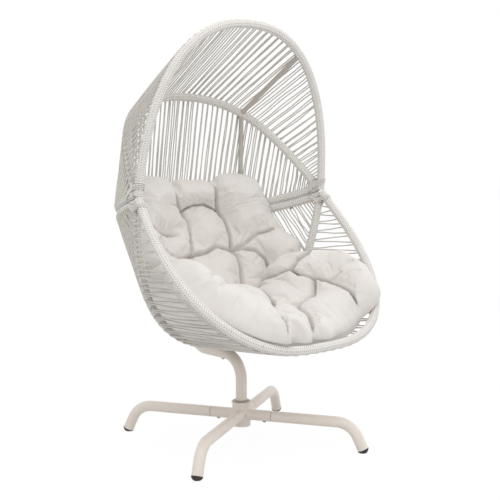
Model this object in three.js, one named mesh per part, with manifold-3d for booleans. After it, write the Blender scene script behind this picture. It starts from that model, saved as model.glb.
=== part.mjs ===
// Pod chair: a roped basket and canopy on a gooseneck post that swivels on a four-legged base.
// Millimetres. The floor is z = 0, the swivel axis is the Z axis and the sitter faces -Y.
import * as THREE from "three";
import { mergeVertices } from "three/addons/utils/BufferGeometryUtils.js";
import Module from "manifold-3d";

const wasm = await Module();
wasm.setup();

// Fits shared by every piece.
const seatGap = 0.3; // between two pieces that touch
const overrun = 1; // how far a cut runs past the wall it opens
const weldDistance = 0.0001; // corners of a mesh this near are one corner

// Sides of the round pieces.
const tubeSides = 12;
const holeSides = 10;
const hubSides = 24;
const sleeveSides = 16;
const capSides = 20;
const boltSides = 8;

// Basket and canopy: hoops of wound tube that fan out from one corner on each side.
const hoopHalfWidth = 443; // swivel axis to the tube centres at a corner
const cornerY = 27;
const cornerZ = 925;
const hoopRadius = 16; // tube with its cord winding
const hoopSides = 8;
const hoopSteps = 32;
// reach: corner line to apex; tilt: degrees up from straight back; squareness: superellipse power
const hoopShapes = {
  canopyFront: { reach: 613, tilt: 96.9, squareness: 2.28, bulgeShare: -0.016 },
  canopyMid: { reach: 482, tilt: 49.4, squareness: 2.21, bulgeShare: -0.062 },
  seam: { reach: 395, tilt: -16.2, squareness: 2.06, bulgeShare: -0.006 },
  basketStay: { reach: 565, tilt: -82.2, squareness: 2.35, bulgeShare: -0.013 },
  basketFront: { reach: 675, tilt: -131.7, squareness: 3.07, bulgeShare: 0.077 },
};
// Where the hoops start, from the corner, inside the neighbours that cut them.
const hoopStartShares = { front: 0, rail: 0.56, mid: 1.125, stay: 1.875 }; // of the hoop radius

// Canopy spines: bare tubes that hold the canopy hoops apart.
const spineRadius = 9.5;
const spineHalfSpan = { front: 263, mid: 257, rail: 283 };

// Cord lacing.
const cordWidth = 5;
const lacingVees = 33; // V turns from corner to corner of one panel; odd, so the middle of a rail is free
const lacingStartShare = 0.062; // share of a hoop's length left bare at each corner
const lacingTurn = 10; // the cord's run along a hoop between two strands
const stripEnds = [0, 8, 17, 25, 33]; // vees at which a panel's four cords end
const stripNames = ["right", "rear_right", "rear_left", "left"];

// Post, keel and mast: one bent tube.
const postRadius = 21;
const postWall = 2.5;
const postBend = 87;
const keelBackReach = 205; // swivel axis to the start of the rear bend
const mastTongueLength = 72; // flat tongue that the mast ends in, up to its bolt
const mastTongueWidth = 26;
const mastTongueThick = 6;
const bendSteps = 6; // facets along each bend of a post or leg tube
const saddleRadius = 8;
const saddleClear = 1.6; // between the keel and the cords that go round the hoops

// Base: hub with four stubs, four legs.
const hubBottom = 62;
const hubTop = 154;
const hubWall = 10.5;
const hubLipReach = 3;
const hubLipHeight = 6;
const baseTurn = 30; // degrees the legs stand round from straight ahead, as photographed
const legCount = 4;
const legRadius = 20;
const legWall = 2;
const legHeight = 105; // floor to tube centre
const legBend = 85;
const legDrop = 65; // degrees the leg turns down
const footReach = 468; // swivel axis to the middle of a foot
const stubReach = 118; // swivel axis to the seam between stub and leg
const spigotLength = 62; // leg neck inside the stub
const legBoltReach = 90;
const capSleeve = 5;
const capWall = 1.6;
const capSole = 13; // sole thickness on the leg's axis, cut level with the floor

// Swivel bearing.
const spindleClear = 1; // between the spindle and the wall of the post
const spindleRise = 12; // hub bottom to spindle bottom
const bushWall = 5.3;
const bushLength = 30;
const runningGap = 0.4;
const thrustThick = 3;
const thrustInset = 2; // the washer's edge inside the hub's
const keeperThick = 3;
const keeperClear = 1.5; // between the keeper and the wall of the hub

// Fasteners.
const boltRadius = 4;
const boltHeadRadius = 7;
const boltHeadHeight = 5;
const postBoltShare = 0.6; // up the stretch of the post that holds the spindle
const railBoltRadius = 3;
const railBoltHeadRadius = 5.5;
const railBoltHeadHeight = 4;
const railBoltShares = [0.115, 0.335]; // along the seam from each corner

// Cushions: padded forms that line the basket.
const cushionSteps = 19;
const cushionRest = 0.5; // between a cushion's underside and the cords that it lies on
const cushionClear = 1.5; // between a cushion's underside and a hoop that it bridges
const bridgeReach = 60; // from a hoop's middle to where the cushion is down on the cords again
const seatCushion = {
  thick: 128,
  startShare: 0.15,
  frontShare: 1.03,
  rearShare: 0.085,
  rearSwellShare: 0.5, // how much fuller the cushion is along its rear edge
  columns: 4,
  rows: 3,
};
const backCushion = {
  thick: 112,
  startShare: 0.19,
  topShare: 0.34,
  lowShare: 0.94,
  rearSwellShare: 0,
  columns: 3,
  rows: 3,
};

const finishes = {
  winding: new THREE.MeshStandardMaterial({ color: "#d6d2ca", roughness: 0.85, metalness: 0 }),
  lacing: new THREE.MeshStandardMaterial({ color: "#c9c5bc", roughness: 0.8, metalness: 0 }),
  coat: new THREE.MeshStandardMaterial({ color: "#cfc6bc", roughness: 0.45, metalness: 0.1 }),
  spine: new THREE.MeshStandardMaterial({ color: "#bdb6ac", roughness: 0.5, metalness: 0.1 }),
  rubber: new THREE.MeshStandardMaterial({ color: "#2e2c2a", roughness: 0.7, metalness: 0 }),
  zinc: new THREE.MeshStandardMaterial({ color: "#8f8d89", roughness: 0.4, metalness: 0.9 }),
  nylon: new THREE.MeshStandardMaterial({ color: "#e8e6e0", roughness: 0.5, metalness: 0 }),
  linen: new THREE.MeshStandardMaterial({ color: "#dcd7d0", roughness: 0.95, metalness: 0 }),
};

// Sizes that follow from those above.
const saddleHeight = cordWidth + saddleClear;
const spindleRadius = postRadius - postWall - spindleClear;
const bushBore = spindleRadius + runningGap;
const hubBore = bushBore + bushWall + seatGap;
const hubRadius = hubBore + hubWall;
const spindleBottom = hubBottom + spindleRise;

const radians = THREE.MathUtils.degToRad;
const group = new THREE.Group();

// Solids and booleans.
function toSolid(geometry) {
  const bare = geometry.clone();
  bare.deleteAttribute("normal");
  bare.deleteAttribute("uv");
  const merged = mergeVertices(bare, weldDistance);
  return new wasm.Manifold(
    new wasm.Mesh({
      numProp: 3,
      vertProperties: new Float32Array(merged.attributes.position.array),
      triVerts: new Uint32Array(merged.index.array),
    }),
  );
}

function toGeometry(solid) {
  const mesh = solid.getMesh();
  const geometry = new THREE.BufferGeometry();
  geometry.setAttribute("position", new THREE.BufferAttribute(mesh.vertProperties, 3));
  geometry.setIndex(new THREE.BufferAttribute(mesh.triVerts, 1));
  geometry.computeVertexNormals();
  return geometry;
}

function cut(geometry, ...tools) {
  const solid = tools.reduce((left, tool) => left.subtract(toSolid(tool)), toSolid(geometry));
  return toGeometry(solid);
}

function join(...geometries) {
  const [first, ...rest] = geometries.map(toSolid);
  return toGeometry(rest.reduce((sum, piece) => sum.add(piece), first));
}

function addMesh(name, geometry, finish) {
  const mesh = new THREE.Mesh(geometry, finishes[finish]);
  mesh.name = name;
  group.add(mesh);
  return mesh;
}

// Curves.
class HoopCurve extends THREE.Curve {
  // A superellipse arch in a plane through both corners, shifted by lift along the plane's normal.
  constructor(shape, start, lift = 0) {
    super();
    this.shape = shape;
    this.start = start;
    this.lift = lift;
    this.arcLengthDivisions = 1600;
  }

  getPoint(t, target = new THREE.Vector3()) {
    const { reach, tilt, squareness, bulgeShare } = this.shape;
    const power = 2 / squareness;
    const turn = Math.PI * t;
    const depth = Math.abs(Math.sin(turn)) ** power;
    const across = Math.sign(Math.cos(turn)) * Math.abs(Math.cos(turn)) ** power;
    const angle = radians(tilt);
    return target.set(
      hoopHalfWidth * across * (1 + bulgeShare * Math.sin(Math.PI * depth)),
      cornerY + reach * depth * Math.cos(angle) - this.lift * Math.sin(angle),
      cornerZ + reach * depth * Math.sin(angle) + this.lift * Math.cos(angle),
    );
  }

  // The point on the right half whose x is the given span.
  atSpan(span) {
    let low = 0;
    let high = 0.5;
    for (let i = 0; i < 40; i += 1) {
      const middle = (low + high) / 2;
      if (this.getPoint(middle).x > span) low = middle;
      else high = middle;
    }
    return this.getPoint(low);
  }
}

class SteppedCurve extends THREE.Curve {
  // A path of runs that are each cut into a given number of steps, so straight runs stay plain.
  constructor(stepsOfRuns) {
    super();
    this.stepsOfRuns = stepsOfRuns;
    this.steps = stepsOfRuns.reduce((sum, steps) => sum + steps);
  }

  getUtoTmapping(share) {
    return share;
  }

  // The run that a share of all steps falls in, and the length along that run.
  locate(t) {
    let step = t * this.steps;
    let run = 0;
    while (run < this.runs.length - 1 && step > this.stepsOfRuns[run]) {
      step -= this.stepsOfRuns[run];
      run += 1;
    }
    return [run, (this.runs[run] * step) / this.stepsOfRuns[run]];
  }
}

class HoopPath extends SteppedCurve {
  // A hoop without a length at both corners, where it can run on straight by an extension.
  constructor(hoop, start, extension) {
    const runs = [extension, hoop.getLength() - 2 * start, extension];
    super(extension > 0 ? [1, hoopSteps, 1] : [hoopSteps]);
    this.hoop = hoop;
    this.start = start;
    this.runs = extension > 0 ? runs : [runs[1]];
  }

  getPoint(t, target = new THREE.Vector3()) {
    const [run, along] = this.locate(t);
    const first = this.start / this.hoop.getLength();
    const extended = this.runs.length > 1;
    const end = run === 2 ? 1 - first : first;
    if (extended && run !== 1) {
      target.copy(this.hoop.getPointAt(end));
      const beyond = run === 0 ? along - this.runs[0] : along;
      return target.addScaledVector(this.hoop.getTangentAt(end), beyond);
    }
    const share = first + along / this.hoop.getLength();
    return target.copy(this.hoop.getPointAt(Math.min(share, 1)));
  }
}

function ring(radius, bore = 0) {
  const shape = new THREE.Shape().absarc(0, 0, radius, 0, 2 * Math.PI, false);
  if (bore > 0) shape.holes.push(new THREE.Path().absarc(0, 0, bore, 0, 2 * Math.PI, true));
  return shape;
}

// A circle is cut into two segments for each curve segment asked for.
function tube(curve, radius, steps, sides, bore = 0) {
  return new THREE.ExtrudeGeometry(ring(radius, bore), {
    extrudePath: curve,
    steps,
    curveSegments: sides / 2,
    bevelEnabled: false,
  });
}

function rod(from, to, radius, sides = tubeSides, bore = 0) {
  return tube(new THREE.LineCurve3(from, to), radius, 1, sides, bore);
}

// Lathe geometry turns about Y; the pieces here turn about Z.
function turned(profile, sides = hubSides) {
  const points = profile.map(([radius, height]) => new THREE.Vector2(radius, height));
  return new THREE.LatheGeometry(points, sides).rotateX(Math.PI / 2);
}

function sleeve(outer, bore, bottom, top, sides = sleeveSides) {
  return turned(
    [
      [bore, bottom],
      [outer, bottom],
      [outer, top],
      [bore, top],
      [bore, bottom],
    ],
    sides,
  );
}

// A domed bolt with its head below z = 0 and its shank above.
function bolt(shank, head, headHeight, length) {
  const crownShare = 0.55;
  return turned(
    [
      [0, -headHeight],
      [head * crownShare, -headHeight],
      [head, -headHeight * crownShare],
      [head, 0],
      [shank, 0],
      [shank, length],
      [0, length],
    ],
    boltSides,
  );
}

// Turns a geometry made along +Z to point along a direction and moves it to a place.
function aim(geometry, place, direction) {
  const up = new THREE.Vector3(0, 0, 1);
  const turn = new THREE.Quaternion().setFromUnitVectors(up, direction.clone().normalize());
  return geometry.applyQuaternion(turn).translate(place.x, place.y, place.z);
}

// Hoops.
const seamAngle = radians(hoopShapes.seam.tilt);
const seamNormal = new THREE.Vector3(0, -Math.sin(seamAngle), Math.cos(seamAngle));
const railLift = hoopRadius + seatGap / 2;
const hoopStart = (name) => hoopStartShares[name] * hoopRadius;
const hoops = {
  canopyFront: new HoopCurve(hoopShapes.canopyFront, hoopStart("front")),
  canopyMid: new HoopCurve(hoopShapes.canopyMid, hoopStart("mid")),
  canopyRail: new HoopCurve(hoopShapes.seam, hoopStart("rail"), railLift),
  basketRail: new HoopCurve(hoopShapes.seam, hoopStart("rail"), -railLift),
  basketStay: new HoopCurve(hoopShapes.basketStay, hoopStart("stay")),
  basketFront: new HoopCurve(hoopShapes.basketFront, hoopStart("front")),
};

function hoopTube(name, extension = 0, radius = hoopRadius) {
  const path = new HoopPath(hoops[name], hoops[name].start, extension);
  return tube(path, radius, path.steps, hoopSides);
}

// A slab that fills the far side of the seam, to end a front hoop flush with it.
function seamBlock(side) {
  const size = 4 * hoopHalfWidth;
  const block = new THREE.BoxGeometry(size, size, size);
  block.rotateX(seamAngle);
  const shift = seamNormal.clone().multiplyScalar(side * (size / 2 - seatGap / 2));
  return block.translate(shift.x, shift.y + cornerY, shift.z + cornerZ);
}

const seamOverrun = 2 * hoopRadius;
const fatRadius = hoopRadius + seatGap / Math.cos(Math.PI / hoopSides);
const fatHoop = (name) => hoopTube(name, seamOverrun, fatRadius);
const railHoles = [];

function cornerRailBolts() {
  const rail = hoops.basketRail;
  const bolts = [];
  for (const side of [1, -1]) {
    for (const share of railBoltShares) {
      const place = rail.getPointAt(side > 0 ? share : 1 - share);
      const seat = place.clone().addScaledVector(seamNormal, -(hoopRadius + seatGap));
      const shank = 3 * hoopRadius;
      const solid = bolt(railBoltRadius, railBoltHeadRadius, railBoltHeadHeight, shank);
      bolts.push(aim(solid, seat, seamNormal));
      const from = seat.clone().addScaledVector(seamNormal, -overrun);
      const to = seat.clone().addScaledVector(seamNormal, shank + seatGap);
      railHoles.push(rod(from, to, railBoltRadius + seatGap, holeSides));
    }
  }
  return bolts;
}

const railBolts = cornerRailBolts();
railBolts.forEach((solid, index) => addMesh(`rail_bolt_${index + 1}`, solid, "zinc"));

const canopyFront = cut(hoopTube("canopyFront", seamOverrun), seamBlock(-1));
const canopyRail = cut(
  hoopTube("canopyRail"),
  fatHoop("canopyFront"),
  ...railHoles,
);
const canopyMid = cut(
  hoopTube("canopyMid"),
  fatHoop("canopyFront"),
  fatHoop("canopyRail"),
);
addMesh("canopy_front_hoop", canopyFront, "winding");
addMesh("canopy_mid_hoop", canopyMid, "winding");
addMesh("canopy_rail", canopyRail, "winding");

// Keel and mast places, from the stay and the rail that they carry.
const stayApex = hoops.basketStay.getPoint(0.5);
const railApex = hoops.basketRail.getPoint(0.5);
const keelHeight = stayApex.z - hoopRadius - saddleHeight - postRadius;
const rearBend = { y: keelBackReach, z: keelHeight + postBend };
const tongueOffset = hoopRadius + saddleHeight + mastTongueThick / 2;

// The lean of a line that leaves the rear bend and passes behind the rail at the tongue's distance.
function mastLean() {
  const across = railApex.y - rearBend.y;
  const up = railApex.z - rearBend.z;
  const distance = Math.hypot(across, up);
  return Math.atan2(up, across) + Math.asin((postBend - tongueOffset) / distance);
}

const lean = mastLean();
const mastUp = new THREE.Vector3(0, Math.cos(lean), Math.sin(lean));
const mastBack = new THREE.Vector3(0, Math.sin(lean), -Math.cos(lean));
const tongueBolt = railApex.clone().addScaledVector(mastBack, tongueOffset);
const mastEnd = tongueBolt.clone().addScaledVector(mastUp, -mastTongueLength);

class GooseneckCurve extends SteppedCurve {
  // Straight up, a quarter bend backwards, a level run, a bend up and a leaning run.
  constructor(bottom) {
    super([1, bendSteps, 1, bendSteps, 1]);
    this.bottom = bottom;
    const bendEndY = rearBend.y + postBend * Math.sin(lean);
    const bendEndZ = rearBend.z - postBend * Math.cos(lean);
    this.runs = [
      keelHeight - postBend - bottom,
      (postBend * Math.PI) / 2,
      keelBackReach - postBend,
      postBend * lean,
      Math.hypot(mastEnd.y - bendEndY, mastEnd.z - bendEndZ),
    ];
  }

  getPoint(t, target = new THREE.Vector3()) {
    const [run, along] = this.locate(t);
    const turn = along / postBend;
    const firstBend = keelHeight - postBend;
    if (run === 0) return target.set(0, 0, this.bottom + along);
    if (run === 1) {
      return target.set(0, postBend * (1 - Math.cos(turn)), firstBend + postBend * Math.sin(turn));
    }
    if (run === 2) return target.set(0, postBend + along, keelHeight);
    if (run === 3) {
      return target.set(
        0,
        rearBend.y + postBend * Math.sin(turn),
        rearBend.z - postBend * Math.cos(turn),
      );
    }
    return target.copy(mastEnd).addScaledVector(mastUp, along - this.runs[run]);
  }
}

// Basket hoops; the rail and stay are drilled for the bolts of the mast and the keel.
const keelBoltPlace = new THREE.Vector3(0, stayApex.y, keelHeight - postRadius);
const upward = new THREE.Vector3(0, 0, 1);
const mastInward = mastBack.clone().negate();
const keelBoltLength = 2 * postRadius + saddleHeight + hoopRadius;
const keelHole = rod(
  new THREE.Vector3(0, stayApex.y, keelHeight - postRadius - overrun),
  new THREE.Vector3(0, stayApex.y, keelBoltPlace.z + keelBoltLength + 2 * seatGap),
  boltRadius + seatGap,
);
const tongueBack = tongueBolt.clone().addScaledVector(mastBack, mastTongueThick / 2);
const mastBoltLength = mastTongueThick + saddleHeight + hoopRadius;
const mastHole = rod(
  tongueBack.clone().addScaledVector(mastBack, overrun),
  tongueBack.clone().addScaledVector(mastBack, -(mastBoltLength + 2 * seatGap)),
  boltRadius + seatGap,
);

const basketFront = cut(hoopTube("basketFront", seamOverrun), seamBlock(1));
const basketRail = cut(
  hoopTube("basketRail"),
  fatHoop("basketFront"),
  mastHole,
  ...railHoles,
);
const basketStay = cut(
  hoopTube("basketStay"),
  fatHoop("basketFront"),
  fatHoop("basketRail"),
  keelHole,
);
addMesh("basket_front_rim", basketFront, "winding");
addMesh("basket_rail", basketRail, "winding");
addMesh("basket_stay", basketStay, "winding");

// Canopy spines, cut to saddle on the hoops that they are welded to.
function spineLine(side, fromHoop, fromSpan, toHoop, toSpan) {
  const from = hoops[fromHoop].atSpan(fromSpan);
  const to = hoops[toHoop].atSpan(toSpan);
  from.x *= side;
  to.x *= side;
  return new THREE.Line3(from, to);
}

function spine(line, fromHoop, toHoop) {
  return cut(rod(line.start, line.end, spineRadius), fatHoop(fromHoop), fatHoop(toHoop));
}

const lowerSpineLines = [];

for (const [word, side] of [
  ["right", 1],
  ["left", -1],
]) {
  const { front, mid, rail } = spineHalfSpan;
  const upperLine = spineLine(side, "canopyFront", front, "canopyMid", mid);
  const lowerLine = spineLine(side, "canopyMid", mid, "canopyRail", rail);
  lowerSpineLines.push(lowerLine);
  const upper = spine(upperLine, "canopyFront", "canopyMid");
  const lower = spine(lowerLine, "canopyMid", "canopyRail");
  addMesh(`canopy_spine_upper_${word}`, upper, "spine");
  addMesh(`canopy_spine_lower_${word}`, lower, "spine");
}

// Cord lacing: one cord per strip, over the outer side of two hoops in turn.
const basketMiddle = new THREE.Vector3(0, cornerY, cornerZ - 4 * hoopRadius);

function outwardNormal(place, along, across) {
  const normal = new THREE.Vector3().crossVectors(along, across).normalize();
  const outward = place.clone().sub(basketMiddle);
  return normal.dot(outward) < 0 ? normal.negate() : normal;
}

// A point of the lacing: on one hoop's outer side, moved along the hoop by a length.
function lacingPoint(hoop, other, share, otherShare, shift) {
  const length = hoop.getLength();
  const at = share + shift / length;
  const place = hoop.getPointAt(at);
  const along = hoop.getTangentAt(at);
  const across = other.getPointAt(otherShare).sub(place);
  const normal = outwardNormal(place, along, across);
  place.addScaledVector(normal, hoopRadius + cordWidth / 2 + seatGap);
  return { place, normal };
}

function lacingPath(near, far, firstVee, lastVee) {
  const shareOf = (vee) => lacingStartShare + (1 - 2 * lacingStartShare) * (vee / lacingVees);
  const half = lacingTurn / 2;
  const path = [lacingPoint(near, far, shareOf(firstVee), shareOf(firstVee), half)];
  for (let vee = firstVee; vee < lastVee; vee += 1) {
    const farShare = shareOf(vee + 0.5);
    const nextShare = shareOf(vee + 1);
    path.push(lacingPoint(far, near, farShare, farShare, -half));
    path.push(lacingPoint(far, near, farShare, farShare, half));
    path.push(lacingPoint(near, far, nextShare, nextShare, -half));
    if (vee < lastVee - 1) path.push(lacingPoint(near, far, nextShare, nextShare, half));
  }
  return path;
}

// A four-sided cord with mitred turns through the points of a path.
function mitredCord(path) {
  const positions = [];
  const index = [];
  const half = cordWidth / 2;
  const sharpestShare = 0.3;
  const direction = (from, to) => to.place.clone().sub(from.place).normalize();
  path.forEach((point, i) => {
    const before = i > 0 ? direction(path[i - 1], point) : direction(point, path[1]);
    const after = i < path.length - 1 ? direction(point, path[i + 1]) : before;
    const side = before.clone().add(after).normalize().cross(point.normal).normalize();
    const edge = new THREE.Vector3().crossVectors(before, point.normal).normalize();
    const stretch = half / Math.max(side.dot(edge), sharpestShare);
    for (const [across, out] of [
      [1, 1],
      [1, -1],
      [-1, -1],
      [-1, 1],
    ]) {
      const corner = point.place.clone().addScaledVector(side, across * stretch);
      corner.addScaledVector(point.normal, out * half);
      positions.push(corner.x, corner.y, corner.z);
    }
  });
  const last = 4 * (path.length - 1);
  for (let i = 0; i < last; i += 4) {
    for (let k = 0; k < 4; k += 1) {
      const next = (k + 1) % 4;
      index.push(i + k, i + next, i + 4 + k);
      index.push(i + next, i + 4 + next, i + 4 + k);
    }
  }
  index.push(0, 2, 1, 0, 3, 2);
  index.push(last, last + 1, last + 2, last, last + 2, last + 3);
  const geometry = new THREE.BufferGeometry();
  geometry.setAttribute("position", new THREE.Float32BufferAttribute(positions, 3));
  geometry.setIndex(index);
  return facedOut(geometry);
}

function facedOut(geometry) {
  const p = geometry.attributes.position;
  const index = geometry.index.array;
  const corner = (i) => new THREE.Vector3().fromBufferAttribute(p, index[i]);
  let volume = 0;
  for (let i = 0; i < index.length; i += 3) {
    volume += corner(i).dot(corner(i + 1).cross(corner(i + 2)));
  }
  if (volume < 0) {
    for (let i = 0; i < index.length; i += 3) {
      [index[i], index[i + 1]] = [index[i + 1], index[i]];
    }
  }
  geometry.computeVertexNormals();
  return geometry;
}

const panels = [
  ["canopy_cord", hoops.canopyFront, hoops.canopyMid],
  ["back_cord", hoops.canopyMid, hoops.canopyRail],
  ["basket_back_cord", hoops.basketRail, hoops.basketStay],
  ["basket_seat_cord", hoops.basketStay, hoops.basketFront],
];
for (const [name, near, far] of panels) {
  stripNames.forEach((strip, i) => {
    const path = lacingPath(near, far, stripEnds[i], stripEnds[i + 1]);
    addMesh(`${name}_${strip}`, mitredCord(path), "lacing");
  });
}

// Cushions: a padded sheet over a stretch of lining, quilted into lobes.
function lobes(u, v, columns, rows) {
  const tuftShare = 0.42;
  const creaseShare = 0.12;
  const across = Math.abs(Math.sin(Math.PI * columns * u)) ** 0.5;
  const along = Math.abs(Math.sin(Math.PI * rows * v)) ** 0.5;
  return 1 - tuftShare * (1 - Math.min(across, along)) - creaseShare * (1 - across * along);
}

// Height of a cushion's underside over the hoops' middles, at the nearest of some distances.
function underside(distances) {
  const over = hoopRadius + cushionClear;
  const down = cushionRest - hoopRadius - seatGap;
  const away = THREE.MathUtils.smoothstep(Math.min(...distances), 2 * hoopRadius, bridgeReach);
  return between(over, down, away);
}

function cushion(lining, { thick, rearSwellShare, columns, rows }) {
  const n = cushionSteps;
  const cornerShare = 0.18;
  const seamShare = 0.38;
  const positions = [];
  const index = [];
  const edge = (t) => (1 - Math.abs(2 * t - 1) ** 4) ** 0.5;
  const swell = (i, j) => 1 + rearSwellShare * (1 - j / n) ** 2 * Math.sin((Math.PI * i) / n) ** 0.5;
  const vertex = (i, j, top) => {
    const a = (2 * i) / n - 1;
    const b = (2 * j) / n - 1;
    const u = 0.5 + 0.5 * a * Math.sqrt(1 - cornerShare * b * b);
    const v = 0.5 + 0.5 * b * Math.sqrt(1 - cornerShare * a * a);
    const { place, normal, low } = lining(u, v);
    const body = edge(i / n) * edge(j / n);
    const seam = seamShare * thick;
    const full = top ? thick * swell(i, j) * lobes(i / n, j / n, columns, rows) : low;
    place.addScaledVector(normal, seam + (full - seam) * body);
    positions.push(place.x, place.y, place.z);
    return positions.length / 3 - 1;
  };
  const rim = (i, j) => i === 0 || j === 0 || i === n || j === n;
  const upper = [];
  const lower = [];
  for (let i = 0; i <= n; i += 1) {
    upper.push([]);
    lower.push([]);
    for (let j = 0; j <= n; j += 1) {
      const top = vertex(i, j, true);
      upper[i].push(top);
      lower[i].push(rim(i, j) ? top : vertex(i, j, false));
    }
  }
  const quad = (a, b, c, d) => index.push(a, b, c, a, c, d);
  for (let i = 0; i < n; i += 1) {
    for (let j = 0; j < n; j += 1) {
      quad(upper[i][j], upper[i + 1][j], upper[i + 1][j + 1], upper[i][j + 1]);
      quad(lower[i][j], lower[i][j + 1], lower[i + 1][j + 1], lower[i + 1][j]);
    }
  }
  const geometry = new THREE.BufferGeometry();
  geometry.setAttribute("position", new THREE.Float32BufferAttribute(positions, 3));
  geometry.setIndex(index);
  return facedOut(geometry);
}

function between(low, high, share) {
  return low + (high - low) * share;
}

// The inward normal of a surface given by a function of two shares.
function inwardNormal(surface, u, v) {
  const step = 0.002;
  const place = surface(u, v);
  const along = surface(u + step, v).sub(place);
  const across = surface(u, v + step).sub(place);
  return outwardNormal(place, along, across).negate();
}

function seatSurface(u, v) {
  const { startShare, rearShare, frontShare } = seatCushion;
  const share = between(startShare, 1 - startShare, u);
  const stay = hoops.basketStay.getPointAt(share);
  return stay.lerp(hoops.basketFront.getPointAt(share), between(rearShare, frontShare, v));
}

function seatLining(u, v) {
  const place = seatSurface(u, v);
  const share = between(seatCushion.startShare, 1 - seatCushion.startShare, u);
  const bridged = [hoops.basketStay, hoops.basketFront].map((hoop) => hoop.getPointAt(share));
  const low = underside(bridged.map((point) => place.distanceTo(point)));
  return { place, normal: inwardNormal(seatSurface, u, v), low };
}

// The point a length along a line of points, past its ends too.
function walk(points, length) {
  let rest = length;
  for (let i = 1; i < points.length - 1; i += 1) {
    const leg = points[i].distanceTo(points[i - 1]);
    if (rest <= leg) return points[i - 1].clone().lerp(points[i], rest / leg);
    rest -= leg;
  }
  const [from, to] = points.slice(-2);
  return from.clone().lerp(to, rest / from.distanceTo(to));
}

// Down the back panel, round the two rails and down the lower panel.
function backSurface(u, v) {
  const { startShare, topShare, lowShare } = backCushion;
  const share = between(startShare, 1 - startShare, u);
  const upperRail = hoops.canopyRail.getPointAt(share);
  const lowerRail = hoops.basketRail.getPointAt(share);
  const top = upperRail.clone().lerp(hoops.canopyMid.getPointAt(share), topShare);
  const low = lowerRail.clone().lerp(hoops.basketStay.getPointAt(share), lowShare);
  const points = [top, upperRail, lowerRail, low];
  const whole = points.slice(1).reduce((sum, point, i) => sum + point.distanceTo(points[i]), 0);
  const sampleShares = [-1, -0.5, 0, 0.5, 1];
  const rounded = new THREE.Vector3();
  for (const sampleShare of sampleShares) {
    const point = walk(points, v * whole + sampleShare * bridgeReach);
    rounded.addScaledVector(point, 1 / sampleShares.length);
  }
  return rounded;
}

function backLining(u, v) {
  const place = backSurface(u, v);
  const share = between(backCushion.startShare, 1 - backCushion.startShare, u);
  const { canopyRail, basketRail, basketStay } = hoops;
  const bridged = [canopyRail, basketRail, basketStay].map((hoop) => hoop.getPointAt(share));
  for (const line of lowerSpineLines) {
    bridged.push(line.closestPointToPoint(place, true, new THREE.Vector3()));
  }
  const low = underside(bridged.map((point) => place.distanceTo(point)));
  return { place, normal: inwardNormal(backSurface, u, v), low };
}

addMesh("seat_cushion", cushion(seatLining, seatCushion), "linen");
addMesh("back_cushion", cushion(backLining, backCushion), "linen");

// Gooseneck with its tongue, drilled for its three bolts.
const gooseneckBottom = hubTop + thrustThick + 2 * seatGap;
const gooseneckPath = new GooseneckCurve(gooseneckBottom);
const gooseneckBore = postRadius - postWall;
const gooseneckTube = tube(
  gooseneckPath,
  postRadius,
  gooseneckPath.steps,
  tubeSides,
  gooseneckBore,
);
const tongueEndRadius = mastTongueWidth / 2;
const tongueShape = new THREE.Shape();
tongueShape.moveTo(-tongueEndRadius, -mastTongueLength - postRadius);
tongueShape.lineTo(tongueEndRadius, -mastTongueLength - postRadius);
tongueShape.absarc(0, 0, tongueEndRadius, 0, Math.PI, false);
tongueShape.closePath();
const tongue = new THREE.ExtrudeGeometry(tongueShape, {
  depth: mastTongueThick,
  curveSegments: 8,
  bevelEnabled: false,
});
tongue.translate(0, 0, -mastTongueThick / 2);
const tongueFrame = new THREE.Matrix4().makeBasis(new THREE.Vector3(-1, 0, 0), mastUp, mastBack);
tongue.applyMatrix4(tongueFrame.setPosition(tongueBolt));
const mastPlug = rod(
  mastEnd.clone().addScaledVector(mastUp, -postRadius / 2),
  mastEnd.clone().addScaledVector(mastUp, postWall),
  postRadius,
);
const spindleTop = keelHeight - postBend - seatGap;
const postBoltHeight = between(gooseneckBottom, spindleTop, postBoltShare);
const postBoltLength = postRadius + spindleRadius / 2;
const postBoltPlace = new THREE.Vector3(0, postRadius + seatGap, postBoltHeight);
const forward = new THREE.Vector3(0, -1, 0);
const postHole = rod(
  postBoltPlace.clone().addScaledVector(forward, -overrun),
  postBoltPlace.clone().addScaledVector(forward, postBoltLength + seatGap),
  boltRadius + seatGap,
);
// A flat for the keel bolt's head, should the bolt sit on a bend.
const keelFlat = rod(
  keelBoltPlace.clone().addScaledVector(upward, -postRadius),
  keelBoltPlace,
  boltHeadRadius + seatGap,
);
const gooseneckBlank = join(gooseneckTube, tongue, mastPlug);
const gooseneck = cut(gooseneckBlank, keelHole, keelFlat, mastHole, postHole);
addMesh("gooseneck", gooseneck, "coat");

const bigBolt = (length) => bolt(boltRadius, boltHeadRadius, boltHeadHeight, length);
const keelSeat = keelBoltPlace.clone().addScaledVector(upward, -seatGap);
const mastSeat = tongueBack.clone().addScaledVector(mastBack, seatGap);
addMesh("keel_bolt", aim(bigBolt(keelBoltLength), keelSeat, upward), "zinc");
addMesh("mast_bolt", aim(bigBolt(mastBoltLength), mastSeat, mastInward), "zinc");
addMesh("post_bolt", aim(bigBolt(postBoltLength), postBoltPlace, forward), "zinc");

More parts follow.
